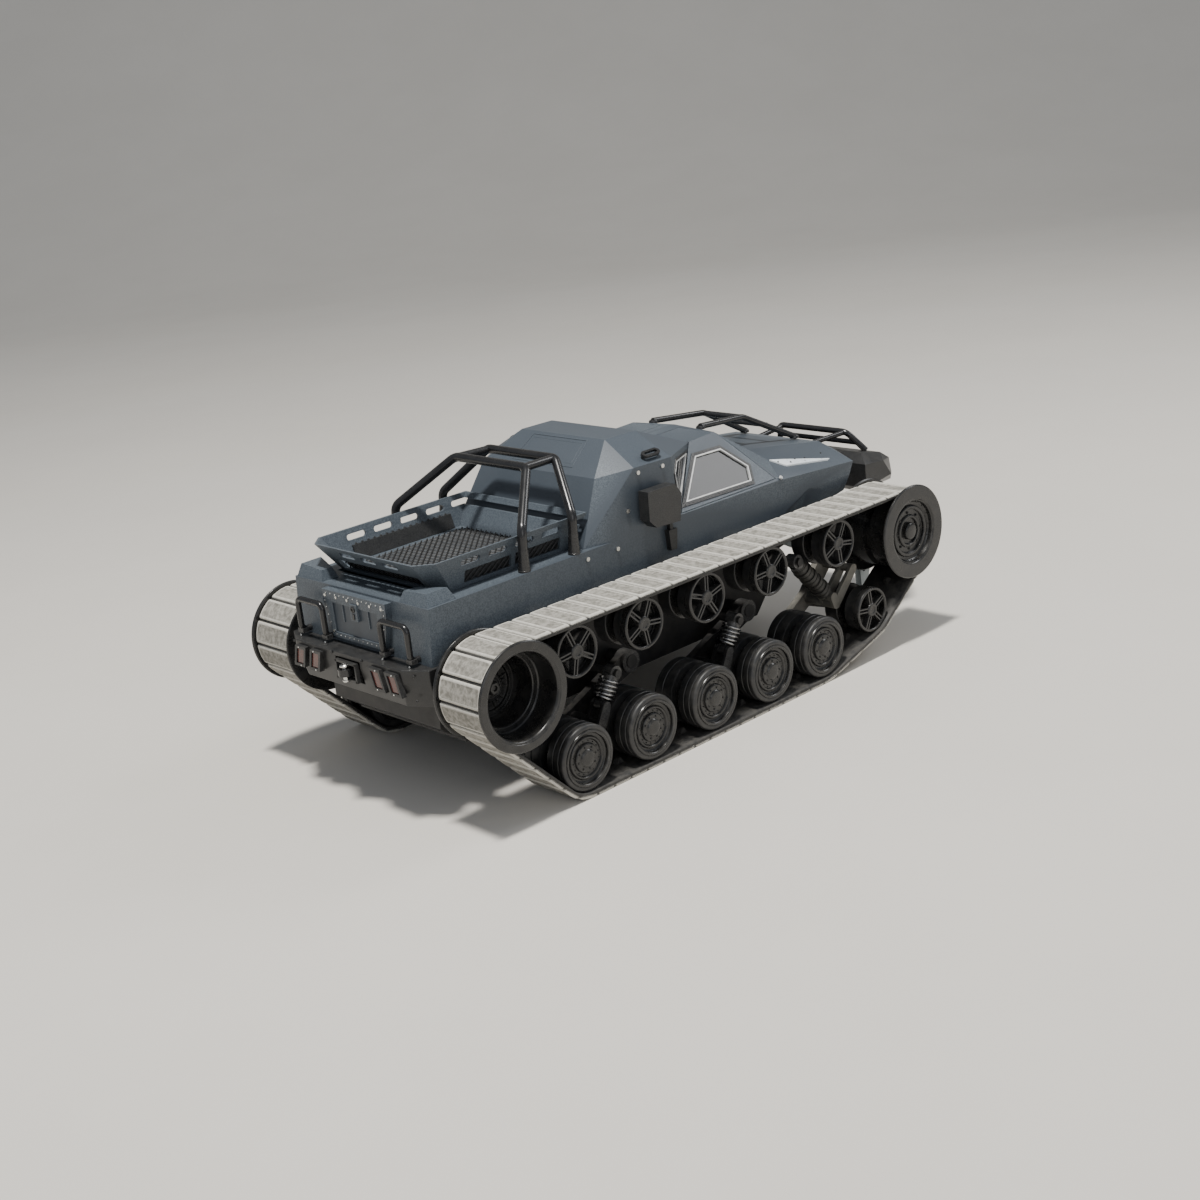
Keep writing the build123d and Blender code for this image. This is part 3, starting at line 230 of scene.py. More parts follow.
def glass(name, tint, clear):
    """Dark clear plastic with faint smears."""
    mat = surface(name, tint, tuple(c * 1.5 for c in tint), (0.04, 0.09), scale=25, grain=120, bump=0.01,
                  bump_mm=0.01)
    shader = mat.node_tree.nodes["Principled BSDF"]
    shader.inputs["Transmission Weight"].default_value = clear
    shader.inputs["IOR"].default_value = 1.45
    return mat


def make_materials():
    """Every finish of the model, by name."""
    paint = dict(scale=9, grain=1100, bump=0.03, bump_mm=0.02)
    gloss = dict(scale=70, grain=1500, bump=0.08, bump_mm=0.03)
    return {
        "paint": surface("body_paint", (0.048, 0.060, 0.075), (0.053, 0.066, 0.082), (0.38, 0.46),
                         wear=(0.22, 0.26, 0.29), wear_amount=0.3, dust=0.02, **paint),
        # painted shade: darker, more matt copy of the body paint for the hull's lowest faces
        "painted_shade_paint": surface("body_paint_painted_shade", (0.016, 0.018, 0.021), (0.024, 0.027, 0.03), (0.6, 0.8),
                              **paint),
        "plastic": surface("black_plastic", (0.006, 0.0065, 0.0072), (0.010, 0.0106, 0.0115), (0.30, 0.44),
                           scale=70, grain=1800, bump=0.12, bump_mm=0.04, wear=(0.10, 0.10, 0.10),
                           wear_amount=0.35, dust=0.05),
        "chassis": surface("chassis_plastic", (0.006, 0.0062, 0.007), (0.010, 0.010, 0.011), (0.45, 0.62),
                           scale=50, grain=1500, bump=0.15, bump_mm=0.05, dust=0.07),
        "tube": surface("black_tube", (0.006, 0.006, 0.007), (0.010, 0.010, 0.011), (0.20, 0.32), scale=50,
                        grain=2000, bump=0.04, coat=0.15, wear=(0.12, 0.12, 0.12), wear_amount=0.15,
                        dust=0.03),
        "wheel": surface("wheel_nylon", (0.0068, 0.007, 0.0075), (0.012, 0.0125, 0.0135), (0.20, 0.34),
                         wear=(0.10, 0.10, 0.10), wear_amount=0.4, dust=0.07, **gloss),
        "tyre": surface("tyre_rubber", (0.009, 0.0098, 0.011), (0.015, 0.016, 0.018), (0.34, 0.52), scale=70,
                        grain=1500, bump=0.2, bump_mm=0.05, wear=(0.09, 0.09, 0.09), wear_amount=0.3,
                        dust=0.10),
        "pad": surface("track_pad_rim", (0.40, 0.385, 0.34), (0.52, 0.50, 0.45), (0.72, 0.92), scale=330,
                       grain=1500, bump=0.6, bump_mm=0.16, wear=(0.66, 0.645, 0.60), wear_amount=0.8),
        # painted shade: the pad's shallow field is coloured darker than its rim
        "field": surface("track_pad_field_painted_shade", (0.17, 0.162, 0.14), (0.34, 0.325, 0.29), (0.78, 0.95), scale=300,
                         grain=1300, bump=0.7, bump_mm=0.18),
        # painted shade: the near-black carcass darkens the gaps between pads
        "band": surface("track_band_rubber_painted_shade", (0.012, 0.012, 0.0125), (0.030, 0.029, 0.027), (0.55, 0.75),
                        scale=90, grain=1200, bump=0.4, bump_mm=0.1, dust=0.10),
        "cast": surface("cast_alloy", (0.24, 0.275, 0.29), (0.33, 0.365, 0.38), (0.38, 0.55), metal=0.35,
                        scale=60, grain=1000, bump=0.4, bump_mm=0.1, dust=0.10),
        "arm": surface("arm_alloy", (0.13, 0.125, 0.11), (0.22, 0.21, 0.185), (0.42, 0.6), metal=0.35,
                       scale=80, grain=1000, bump=0.4, bump_mm=0.1, dust=0.10),
        "steel": surface("bright_steel", (0.55, 0.55, 0.53), (0.68, 0.68, 0.66), (0.20, 0.34), metal=1.0,
                         scale=150),
        "spring": surface("spring_wire", (0.30, 0.30, 0.31), (0.45, 0.45, 0.44), (0.22, 0.36), metal=1.0,
                          scale=200),
        "boot": surface("rubber_boot", (0.010, 0.010, 0.010), (0.020, 0.020, 0.018), (0.45, 0.65), scale=90,
                        grain=900, bump=0.3, bump_mm=0.08, dust=0.15),
        "dark_metal": surface("dark_metal", (0.010, 0.010, 0.011), (0.020, 0.020, 0.021), (0.26, 0.44),
                              metal=0.3, scale=90, grain=1600, bump=0.15, bump_mm=0.05, wear=(0.2, 0.2, 0.2),
                              wear_amount=0.4, dust=0.08),
        "tail": surface("tail_lens", (0.085, 0.022, 0.017), (0.125, 0.036, 0.028), (0.14, 0.24), scale=160,
                        grain=900, bump=0.3, bump_mm=0.1, coat=0.4),
        "white": surface("lamp_white", (0.62, 0.67, 0.71), (0.72, 0.76, 0.79), (0.22, 0.34), scale=90,
                         grain=1500, bump=0.05, coat=0.2),
        "bead": surface("seal_bead", (0.50, 0.51, 0.51), (0.66, 0.66, 0.65), (0.3, 0.45), scale=160),
        "glass": glass("tinted_glass", (0.012, 0.013, 0.015), 0.35),
        "wrap": surface("battery_wrap", (0.03, 0.09, 0.25), (0.04, 0.11, 0.3), (0.25, 0.4), scale=60,
                        grain=800, bump=0.2),
        "case": surface("anodised_case", (0.03, 0.03, 0.034), (0.045, 0.045, 0.05), (0.3, 0.42), metal=0.8,
                        scale=90, grain=1500, bump=0.1),
        "seat": surface("cabin_lining", (0.035, 0.034, 0.033), (0.05, 0.048, 0.046), (0.6, 0.8), scale=120,
                        grain=900, bump=0.4, bump_mm=0.1),
    }


# ---- mesh building -------------------------------------------------------------------

class Builder:
    """Collects faces of one piece. Points are in metres in the frame."""

    def __init__(self):
        self.points = []
        self.faces = []
        self.slots = []

    def add(self, points, faces, slot=0):
        """Add a patch of faces."""
        start = len(self.points)
        self.points.extend(points)
        for face in faces:
            self.faces.append([start + i for i in face])
            self.slots.append(slot)

    def lathe(self, profile, centre, side, slot_of=None, steps=96):
        """Closed (radius, depth) profile in mm, turned about a Y axis through (x, z) of centre.
        Depth is the distance from the vehicle's middle plane, towards the given side."""
        rings = []
        for radius, depth in profile:
            ring = []
            for k in range(steps):
                angle = 2 * math.pi * k / steps
                ring.append(Vector((centre.x + radius * MM * math.cos(angle), side * depth * MM,
                                    centre.z + radius * MM * math.sin(angle))))
            rings.append(ring)
        points = [p for ring in rings for p in ring]
        start = len(self.points)
        self.points.extend(points)
        count = len(profile)
        for i in range(count):
            j = (i + 1) % count
            if profile[i][0] < 0.01 and profile[j][0] < 0.01:
                continue
            mid = ((profile[i][0] + profile[j][0]) / 2, (profile[i][1] + profile[j][1]) / 2)
            slot = slot_of(*mid) if slot_of else 0
            for k in range(steps):
                m = (k + 1) % steps
                near, far = start + i * steps, start + j * steps
                quad = [near + k, near + m, far + m, far + k]
                self.faces.append(quad if side > 0 else quad[::-1])
                self.slots.append(slot)

    def box(self, low, high, slot=0, matrix=None):
        """Box between two corners in metres, moved by a matrix."""
        xs, ys, zs = zip(low, high)
        corners = [Vector((x, y, z)) for x in xs for y in ys for z in zs]
        if matrix:
            corners = [matrix @ c for c in corners]
        sides = [(0, 1, 3, 2), (4, 6, 7, 5), (0, 4, 5, 1), (2, 3, 7, 6), (0, 2, 6, 4), (1, 5, 7, 3)]
        self.add(corners, sides, slot)

    def prism(self, outline, push, slot=0):
        """Closed prism of an outline of points, pushed along a vector."""
        count = len(outline)
        top = [p + push for p in outline]
        faces = [tuple(range(count))[::-1], tuple(range(count, 2 * count))]
        for i in range(count):
            j = (i + 1) % count
            faces.append((i, j, count + j, count + i))
        self.add(list(outline) + top, faces, slot)

    def knob(self, place, axis, radius, height, sides=6, crown=0.25, slot=0):
        """Bolt head: a short prism with a chamfered rim and a dimple, standing on a place."""
        axis = Vector(axis).normalized()
        turn = axis.to_track_quat("Z", "Y").to_matrix()
        rings = [(radius, 0.0), (radius, height * 0.62), (radius * 0.8, height), (radius * 0.42, height),
                 (radius * 0.36, height * (1 - crown))]
        points = []
        for r, h in rings:
            for k in range(sides):
                angle = 2 * math.pi * k / sides
                points.append(Vector(place) + turn @ Vector((r * math.cos(angle), r * math.sin(angle), h)))
        faces = [tuple(range(sides))[::-1]]
        for i in range(len(rings) - 1):
            for k in range(sides):
                m = (k + 1) % sides
                faces.append((i * sides + k, i * sides + m, (i + 1) * sides + m, (i + 1) * sides + k))
        last = (len(rings) - 1) * sides
        faces.append(tuple(range(last, last + sides)))
        self.add(points, faces, slot)

    def tube(self, path, radius, sides=20, slot=0, closed=False):
        """Round tube along points in metres, with closed ends."""
        count = len(path)
        turn = None
        rings = []
        for i, p in enumerate(path):
            ahead = path[(i + 1) % count] if closed or i < count - 1 else p
            behind = path[i - 1] if closed or i > 0 else p
            tangent = (ahead - behind).normalized()
            if turn is None:
                side_way = tangent.orthogonal().normalized()
            else:
                side_way = (turn - tangent * turn.dot(tangent)).normalized()
            turn = side_way
            up = tangent.cross(side_way)
            rings.append([p + (side_way * math.cos(a) + up * math.sin(a)) * radius
                          for a in (2 * math.pi * k / sides for k in range(sides))])
        points = [p for ring in rings for p in ring]
        faces = []
        spans = count if closed else count - 1
        for i in range(spans):
            j = (i + 1) % count
            for k in range(sides):
                m = (k + 1) % sides
                faces.append((i * sides + k, i * sides + m, j * sides + m, j * sides + k))
        if not closed:
            faces.append(tuple(range(sides))[::-1])
            faces.append(tuple(range((count - 1) * sides, count * sides)))
        self.add(points, faces, slot)

    def build(self, name, body, mats, replaced=(), bevel_mm=0.0, angle=30, segments=2):
        """Make the object, ride it on its body, and hide the CAD nodes that it stands for."""
        mesh = bpy.data.meshes.new(name)
        mesh.from_pydata([tuple(p) for p in self.points], [], self.faces)
        for mat in mats:
            mesh.materials.append(mat)
        mesh.polygons.foreach_set("material_index", self.slots)
        return finish_piece(mesh, name, body, replaced, bevel_mm, angle, segments)


def finish_piece(mesh, name, body, replaced, bevel_mm, angle, segments):
    """Clean a mesh, bevel its sharp edges, and put it in the scene on its body."""
    work = bmesh.new()
    work.from_mesh(mesh)
    bmesh.ops.remove_doubles(work, verts=work.verts, dist=1e-7)
    bmesh.ops.dissolve_degenerate(work, edges=work.edges, dist=1e-8)
    bmesh.ops.recalc_face_normals(work, faces=work.faces)
    work.to_mesh(mesh)
    work.free()
    mesh.shade_smooth()
    piece = bpy.data.objects.new(name, mesh)
    bpy.context.scene.collection.objects.link(piece)
    if bevel_mm:
        bevel = piece.modifiers.new("bevel", "BEVEL")
        bevel.width = bevel_mm * MM
        bevel.segments = segments
        bevel.limit_method = "ANGLE"
        bevel.angle_limit = math.radians(angle)
        bevel.harden_normals = False
        normals = piece.modifiers.new("normals", "WEIGHTED_NORMAL")
        normals.keep_sharp = False
        normals.weight = 60
    else:
        mesh.set_sharp_from_angle(angle=math.radians(angle))
    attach(piece, body)
    if replaced:
        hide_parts(*replaced)
    return piece


def softened(node, body, mats, bevel_mm, angle=18, segments=2, slot_of=None):
    """A copy of a CAD node with its flat faces merged and its edges rounded."""
    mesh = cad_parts[node].data.copy()
    mesh.materials.clear()
    work = bmesh.new()
    work.from_mesh(mesh)
    bmesh.ops.remove_doubles(work, verts=work.verts, dist=2e-6)
    bmesh.ops.dissolve_limit(work, angle_limit=math.radians(0.6), verts=work.verts, edges=work.edges)
    work.to_mesh(mesh)
    work.free()
    for mat in mats:
        mesh.materials.append(mat)
    for face in mesh.polygons:
        face.material_index = slot_of(face) if slot_of else 0
    return finish_piece(mesh, f"{node}_finished", body, (node,), bevel_mm, angle, segments)


def rounded_path(corners, radius, steps=8):
    """Straight runs between corners joined by arcs, as points in metres."""
    path = [corners[0]]
    for before, corner, after in zip(corners, corners[1:], corners[2:]):
        a = (before - corner).normalized()
        b = (after - corner).normalized()
        half = a.angle(b) / 2
        reach = min(radius / math.tan(half), (before - corner).length * 0.49, (after - corner).length * 0.49)
        real = reach * math.tan(half)
        centre = corner + (a + b).normalized() * (real / math.sin(half))
        first = corner + a * reach - centre
        last = corner + b * reach - centre
        swing = first.angle(last)
        axis = first.cross(last).normalized()
        for k in range(steps + 1):
            path.append(centre + Matrix.Rotation(swing * k / steps, 3, axis) @ first)
    path.append(corners[-1])
    return path


# ---- track belts ---------------------------------------------------------------------

BELT_IN_MM, BELT_OUT_MM = 88.6, 131.9
BELT_T_MM = 4.3
FACE_GAP_MM = 0.3
DRIVE_TEETH = 12
PAD_PITCH_MM = 16.4


class BeltLine:
    """The belt's inner line round the wheels of one side, by distance from where it
    leaves the drive wheel. Distances and heights are in metres."""

    def __init__(self, side_name):
        self.circles = []
        for node, drum in ((f"drive_wheel_{side_name}", 31.2), (f"road_wheel_{side_name}_1", 24.2),
                           (f"road_wheel_{side_name}_5", 24.2), (f"small_wheel_{side_name}", 18.3),
                           (f"idler_wheel_{side_name}", 31.2)):
            centre = middle(node)
            self.circles.append((centre.x, centre.z, (drum + FACE_GAP_MM) * MM))
        self.parts = []
        runs = []
        count = len(self.circles)
        for i in range(count):
            xa, za, ra = self.circles[i]
            xb, zb, rb = self.circles[(i + 1) % count]
            heading = math.atan2(zb - za, xb - xa)
            normal = heading - math.acos((ra - rb) / math.hypot(xb - xa, zb - za))
            runs.append((normal, (xa + ra * math.cos(normal), za + ra * math.sin(normal)),
                         (xb + rb * math.cos(normal), zb + rb * math.sin(normal))))
        for i, (normal, start, end) in enumerate(runs):
            length = math.hypot(end[0] - start[0], end[1] - start[1])
            self.parts.append(("run", length, start, end, normal))
            following = runs[(i + 1) % count][0]
            while following < normal:
                following += 2 * math.pi
            circle = self.circles[(i + 1) % count]
            self.parts.append(("arc", (following - normal) * circle[2], circle, normal))
        self.length = sum(part[1] for part in self.parts)
        self.leave_angle = runs[0][0]
        self.arrive_angle = self.parts[-1][3]

    def point(self, distance, y, height):
        """Place at a distance along the belt, at y across, height outside the inner line."""
        distance %= self.length
        for part in self.parts:
            if distance <= part[1]:
                break
            distance -= part[1]
        if part[0] == "run":
            share = distance / part[1]
            x = part[2][0] + (part[3][0] - part[2][0]) * share
            z = part[2][1] + (part[3][1] - part[2][1]) * share
            angle = part[4]
            return Vector((x + math.cos(angle) * height, y, z + math.sin(angle) * height))
        x, z, radius = part[2]
        angle = part[3] + distance / radius
        return Vector((x + math.cos(angle) * (radius + height), y, z + math.sin(angle) * (radius + height)))

    def stations(self):
        """Distance of each pad: on the drive wheel midway between teeth, then evenly."""
        step = 2 * math.pi / DRIVE_TEETH
        radius = self.circles[0][2]
        wrap = self.parts[-1][1] / radius
        leave = self.arrive_angle + wrap
        on_wheel = []
        turn = 2 * math.pi * math.floor(self.arrive_angle / (2 * math.pi))
        angle = math.pi / 2 + step / 2 + turn
        while angle < leave:
            if angle > self.arrive_angle:
                on_wheel.append(angle)
            angle += step
        found = [self.length - (leave - a) * radius for a in on_wheel]
        lead = (leave - on_wheel[-1]) * radius
        free = self.length - (on_wheel[-1] - on_wheel[0]) * radius
        count = round(free / (PAD_PITCH_MM * MM))
        found += [k * free / count - lead for k in range(1, count)]
        return sorted(d % self.length for d in found)


def pad_lines(span, edge):
    """Positions of a pad's grid lines across a span: wall, rim, step and inner field."""
    half = span / 2
    outer = [half - inset for inset in edge]
    inner = [outer[-1] / 3, 0.0]
    return [-v for v in outer] + [-inner[0], 0.0, inner[0]] + outer[::-1]


PAD_INSETS_MM = (0.0, 0.2, 0.8, 1.9, 2.7)
PAD_HEIGHTS_MM = (-1.4, -0.4, 0.0, 0.0, -0.45)


def pad_height(a, b):
    """Height of a pad's surface on grid line numbers a and b, counted from the edges."""
    ring = min(a, b, 4)
    if ring < 4:
        return PAD_HEIGHTS_MM[ring]
    depth = min(a, b) - 4
    return PAD_HEIGHTS_MM[4] + 0.12 * depth


def add_pad(builder, line, distance, length, side):
    """One pad of the belt: a raised rounded border round a shallow field; the field's darker material is
    painted shade.
    """
    along = pad_lines(length, [v * MM for v in PAD_INSETS_MM])
    across = pad_lines((BELT_OUT_MM - BELT_IN_MM) * MM, [v * MM * 1.2 for v in PAD_INSETS_MM])
    mid_y = side * (BELT_IN_MM + BELT_OUT_MM) / 2 * MM
    rows, cols = len(along), len(across)
    points = []
    for i, s in enumerate(along):
        for j, y in enumerate(across):
            a, b = min(i, rows - 1 - i), min(j, cols - 1 - j)
            corner = 0.0
            if a < 4 and b < 4:
                corner = (1.1 - 0.25 * abs(a - b)) * MM if a == b else 0.0
            s_in = s - math.copysign(corner * 0.5, s)
            y_in = y - math.copysign(corner * 0.5, y)
            lift = (BELT_T_MM + pad_height(a, b)) * MM
            points.append(line.point(distance + s_in, mid_y + y_in, lift))
    rim_faces, field_faces = [], []
    for i in range(rows - 1):
        for j in range(cols - 1):
            inside = min(i, rows - 2 - i) > 2 and min(j, cols - 2 - j) > 2
            (field_faces if inside else rim_faces).append(
                (i * cols + j, (i + 1) * cols + j, (i + 1) * cols + j + 1, i * cols + j + 1))
    rear, front, near, far = along[0], along[-1], across[0], across[-1]
    base_corners = [(rear, near), (front, near), (front, far), (rear, far)]
    base = [line.point(distance + s, mid_y + y, (BELT_T_MM - 1.9) * MM) for s, y in base_corners]
    start = len(builder.points)
    builder.add(points, rim_faces, 0)
    # field faces take slot 2, the darker material that paints shade into the field
    for face in field_faces:
        builder.faces.append([start + i for i in face])
        builder.slots.append(2)
    rim = [i * cols for i in range(rows)]
    far = [i * cols + cols - 1 for i in range(rows)]
    first = len(builder.points)
    builder.points.extend(base)
    builder.faces.append([start + i for i in rim] + [first + 1, first])
    builder.faces.append([start + i for i in far[::-1]] + [first + 3, first + 2])
    builder.faces.append([start + j for j in range(cols)] + [first + 3, first])
    builder.faces.append([start + (rows - 1) * cols + j for j in range(cols)][::-1] + [first + 1, first + 2])
    builder.faces.append([first, first + 1, first + 2, first + 3])
    builder.slots.extend([0, 0, 0, 0, 0])


def add_band(builder, line, side):
    """The belt's carcass under the pads, with rounded side edges; its near-black material is painted shade in
    the gaps between pads.
    """
    inner, outer = BELT_IN_MM + 0.1, BELT_OUT_MM - 0.1
    top = BELT_T_MM - 1.2
    section = [(inner + 0.6, 0.05), (inner, 0.7), (inner, top - 0.6), (inner + 0.6, top), (outer - 0.6, top),
               (outer, top - 0.6), (outer, 0.7), (outer - 0.6, 0.05)]
    steps = int(line.length / (2.0 * MM))
    count = len(section)
    points = []
    for k in range(steps):
        distance = line.length * k / steps
        points += [line.point(distance, side * y * MM, h * MM) for y, h in section]
    faces = []
    for k in range(steps):
        m = (k + 1) % steps
        for i in range(count):
            j = (i + 1) % count
            faces.append((k * count + i, k * count + j, m * count + j, m * count + i))
    builder.add(points, faces, 1)


def add_horn(builder, line, distance, side):
    """Guide horn inside the belt that runs in the wheels' centre grooves."""
    mid = (BELT_IN_MM + BELT_OUT_MM) / 2
    rings = ((3.5, 2.45, 0.3), (3.0, 2.4, -0.6), (1.5, 1.9, -3.5), (0.9, 1.3, -3.95))
    points = []
    for half_s, half_y, height in rings:
        for s, y in ((-1, -1), (1, -1), (1, 1), (-1, 1)):
            points.append(line.point(distance + s * half_s * MM, side * (mid + y * half_y) * MM, height * MM))
    faces = [(0, 1, 2, 3), (12, 15, 14, 13)]
    for i in range(3):
        for k in range(4):
            m = (k + 1) % 4
            faces.append((i * 4 + k, (i + 1) * 4 + k, (i + 1) * 4 + m, i * 4 + m))
    builder.add(points, faces, 1)


def build_belts(mats):
    """Both belts, each one piece: carcass, pads and horns."""
    for name, side in SIDES:
        line = BeltLine(name)
        stations = line.stations()
        builder = Builder()
        add_band(builder, line, side)
        for i, distance in enumerate(stations):
            after = stations[(i + 1) % len(stations)]
            gap = (after - distance) % line.length
            add_pad(builder, line, distance, gap - 1.7 * MM, side)
            add_horn(builder, line, distance, side)
        piece = builder.build(f"track_{name}", "chassis", [mats["pad"], mats["band"], mats["field"]],
                              (f"track_belt_{name}",), angle=50)


# ---- wheels --------------------------------------------------------------------------

FLANGE_IN_MM, FLANGE_OUT_MM = 85.6, 134.9
BELT_MID_MM = (BELT_IN_MM + BELT_OUT_MM) / 2
BORE_MM = 3.05
CAGE_R_MM = 3.4
LOOP_R_MM = 2.2
FLANGE_R_MM, DRUM_R_MM = 38.2, 31.2
HORN_GROOVE_R_MM = 25.6


def drum_profile(start):
    """The outside of a flanged wheel, from its back face to its front rim."""
    a, b = BELT_MID_MM - 3.3, BELT_MID_MM + 3.3
    return start + [
        (36.9, FLANGE_IN_MM), (FLANGE_R_MM, FLANGE_IN_MM + 0.6), (FLANGE_R_MM, FLANGE_IN_MM + 1.8),
        (37.4, FLANGE_IN_MM + 2.5), (DRUM_R_MM + 0.4, FLANGE_IN_MM + 2.6), (DRUM_R_MM, FLANGE_IN_MM + 3.2),
        (DRUM_R_MM, a), (HORN_GROOVE_R_MM, a), (HORN_GROOVE_R_MM, b), (DRUM_R_MM, b),
        (DRUM_R_MM, FLANGE_OUT_MM - 3.2), (DRUM_R_MM + 0.4, FLANGE_OUT_MM - 2.6), (37.4, FLANGE_OUT_MM - 2.5),
        (FLANGE_R_MM, FLANGE_OUT_MM - 1.8), (FLANGE_R_MM, FLANGE_OUT_MM - 0.7), (37.3, FLANGE_OUT_MM),
    ]


def ring_of(builder, centre, side, radius, count, depth, head, height, sides=6, slot=0, start=0.0):
    """Bolt heads on a circle on a wheel's outer face."""
    for k in range(count):
        angle = math.radians(start + 360 * k / count)
        out, up = radius * MM * math.cos(angle), radius * MM * math.sin(angle)
        place = Vector((centre.x + out, side * depth * MM, centre.z + up))
        builder.knob(place, (0, side, 0), head * MM, height * MM, sides, slot=slot)


def build_drive_wheels(mats):
    """Deep dished rear wheels with the rungs that catch the horns."""
    f = FLANGE_OUT_MM
    inside = FLANGE_IN_MM
    ledge = BELT_MID_MM + 4.8
    profile = drum_profile([(0, inside)]) + [
        (32.4, f), (32.0, f - 0.5), (31.2, f - 0.5), (30.6, f - 0.9), (30.0, f - 1.9), (29.3, ledge + 0.9),
        (28.4, ledge), (24.9, ledge), (24.2, ledge - 0.7), (23.4, inside + 15), (21.5, inside + 12),
        (19.6, inside + 12),
        (19.2, inside + 13.2), (17.4, inside + 13.2), (17.0, inside + 11.2), (15.4, inside + 11.0),
        (11.6, inside + 11.0), (11.0, inside + 12.4), (10.2, inside + 14.5), (8.6, inside + 15.4),
        (8.2, inside + 14.6), (6.6, inside + 14.6), (6.2, inside + 15.5), (0, inside + 15.5),
    ]
    for name, side in SIDES:
        centre = middle(f"drive_wheel_{name}")
        builder = Builder()
        builder.lathe(profile, centre, side, steps=128)
        for k in range(DRIVE_TEETH):
            angle = math.radians(90 + 360 * k / DRIVE_TEETH)
            turn = Matrix.Translation((centre.x, 0, centre.z)) @ Matrix.Rotation(-angle, 4, "Y")
            low = (25.0 * MM, side * (BELT_MID_MM - 3.5) * MM, -1.5 * MM)
            high = (27.2 * MM, side * (BELT_MID_MM + 3.5) * MM, 1.5 * MM)
            builder.box(low, high, 0, turn)
        ring_of(builder, centre, side, 13.3, 6, inside + 11.0, 1.5, 1.5, 6, 1)
        hub = Vector((centre.x, side * (inside + 15.5) * MM, centre.z))
        builder.knob(hub, (0, side, 0), 5.2 * MM, 3.8 * MM, 6, 0.4)
        for k in range(12):
            angle = math.radians(360 * k / 12 + 15)
            turn = Matrix.Translation((centre.x, 0, centre.z)) @ Matrix.Rotation(-angle, 4, "Y")
            low = (11.4 * MM, side * (inside + 10.8) * MM, -0.5 * MM)
            high = (16.8 * MM, side * (inside + 12.2) * MM, 0.5 * MM)
            builder.box(low, high, 0, turn)
        shaft = [(0, 48.2), (4.0, 48.2), (4.0, inside + 0.5), (0, inside + 0.5)]
        builder.lathe(shaft, centre, side, lambda r, d: 2, 32)
        builder.build(f"drive_wheel_{name}_finished", f"drive_wheel_{name}",
                      [mats["wheel"], mats["dark_metal"], mats["steel"]], (f"drive_wheel_{name}",), 0.18, 28)


def build_idler_wheels(mats):
    """Front wheels with a flat rim and stepped rings round the centre cap."""
    f = FLANGE_OUT_MM
    profile = drum_profile([(BORE_MM, FLANGE_IN_MM)]) + [
        (27.6, f), (26.6, f - 0.3), (26.0, f - 1.1), (25.2, f - 1.3), (24.6, f - 3.9), (23.6, f - 4.9),
        (21.4, f - 5.3), (20.9, f - 3.9), (20.2, f - 3.5), (18.6, f - 3.5), (18.0, f - 4.0),
        (17.6, f - 5.7), (16.6, f - 6.0), (13.6, f - 6.0), (13.1, f - 4.8), (12.4, f - 4.4), (11.2, f - 4.4),
        (10.7, f - 5.0), (10.2, f - 6.4), (7.2, f - 6.5), (6.8, f - 3.4), (6.2, f - 2.6), (4.4, f - 2.2),
        (0, f - 2.2), (0, f - 7.5), (BORE_MM, f - 7.5),
    ]
    for name, side in SIDES:
        centre = middle(f"idler_wheel_{name}")
        builder = Builder()
        builder.lathe(profile, centre, side, steps=128)
        ring_of(builder, centre, side, 15.1, 8, f - 6.0, 1.05, 1.2, 6, 1)
        ring_of(builder, centre, side, 24.2, 16, f - 4.6, 0.5, 0.8, 8, 0)
        look = [mats["wheel"], mats["dark_metal"]]
        builder.build(f"idler_wheel_{name}_finished", f"idler_wheel_{name}", look,
                      (f"idler_wheel_{name}",), 0.18, 28)


def build_road_wheels(mats):
    """Road wheels: two wide rubber treads and a ringed, bolted hub face."""
    face, back = BELT_OUT_MM - 1.0, BELT_IN_MM + 1.0
    a, b = BELT_MID_MM - 3.5, BELT_MID_MM + 3.5
    profile = [
        (BORE_MM, back), (8.0, back), (9.0, back + 2.0), (18.0, back + 2.0), (19.0, back), (22.4, back),
        (23.6, back + 0.4), (24.1, back + 1.4), (24.2, back + 3.0), (24.2, back + 7.6), (23.7, back + 8.0),
        (23.7, back + 8.8), (24.2, back + 9.2), (24.2, a - 1.2), (23.6, a), (18.7, a), (18.7, b), (23.6, b),
        (24.2, b + 1.2), (24.2, b + 5.6), (23.75, b + 6.0), (23.75, b + 6.7), (24.2, b + 7.1),
        (24.2, b + 11.2), (23.75, b + 11.6), (23.75, b + 12.3), (24.2, b + 12.7), (24.2, face - 2.6),
        (23.9, face - 1.6), (23.2, face - 0.9), (22.0, face - 0.55), (21.0, face - 0.6), (20.5, face - 0.9),
        (20.2, face - 0.2), (19.7, face), (18.8, face), (18.3, face - 0.5), (17.9, face - 2.4),
        (17.0, face - 3.1), (15.9, face - 3.3), (15.4, face - 2.4), (14.8, face - 2.0), (13.9, face - 2.0),
        (13.4, face - 2.6), (13.0, face - 3.3), (10.9, face - 3.4), (10.3, face - 2.0), (9.7, face - 1.6),
        (6.6, face - 1.6), (6.1, face - 1.0), (5.7, face - 0.5), (5.0, face - 0.2), (3.4, face), (0, face),
        (0, face - 4.6), (BORE_MM, face - 4.6),
    ]

    def tread(radius, _depth):
        return 1 if radius > 20.4 else 0

    for name, side in SIDES:
        for k in range(1, 6):
            node = f"road_wheel_{name}_{k}"
            centre = middle(node)
            builder = Builder()
            builder.lathe(profile, centre, side, tread, 96)
            ring_of(builder, centre, side, 8.2, 8, face - 1.6, 0.8, 0.7, 6, 0, 10 * k)
            ring_of(builder, centre, side, 12.0, 16, face - 3.4, 0.45, 0.7, 8, 0, 5 * k)
            builder.build(f"{node}_finished", node, [mats["wheel"], mats["tyre"]], (node,), 0.12, 30)


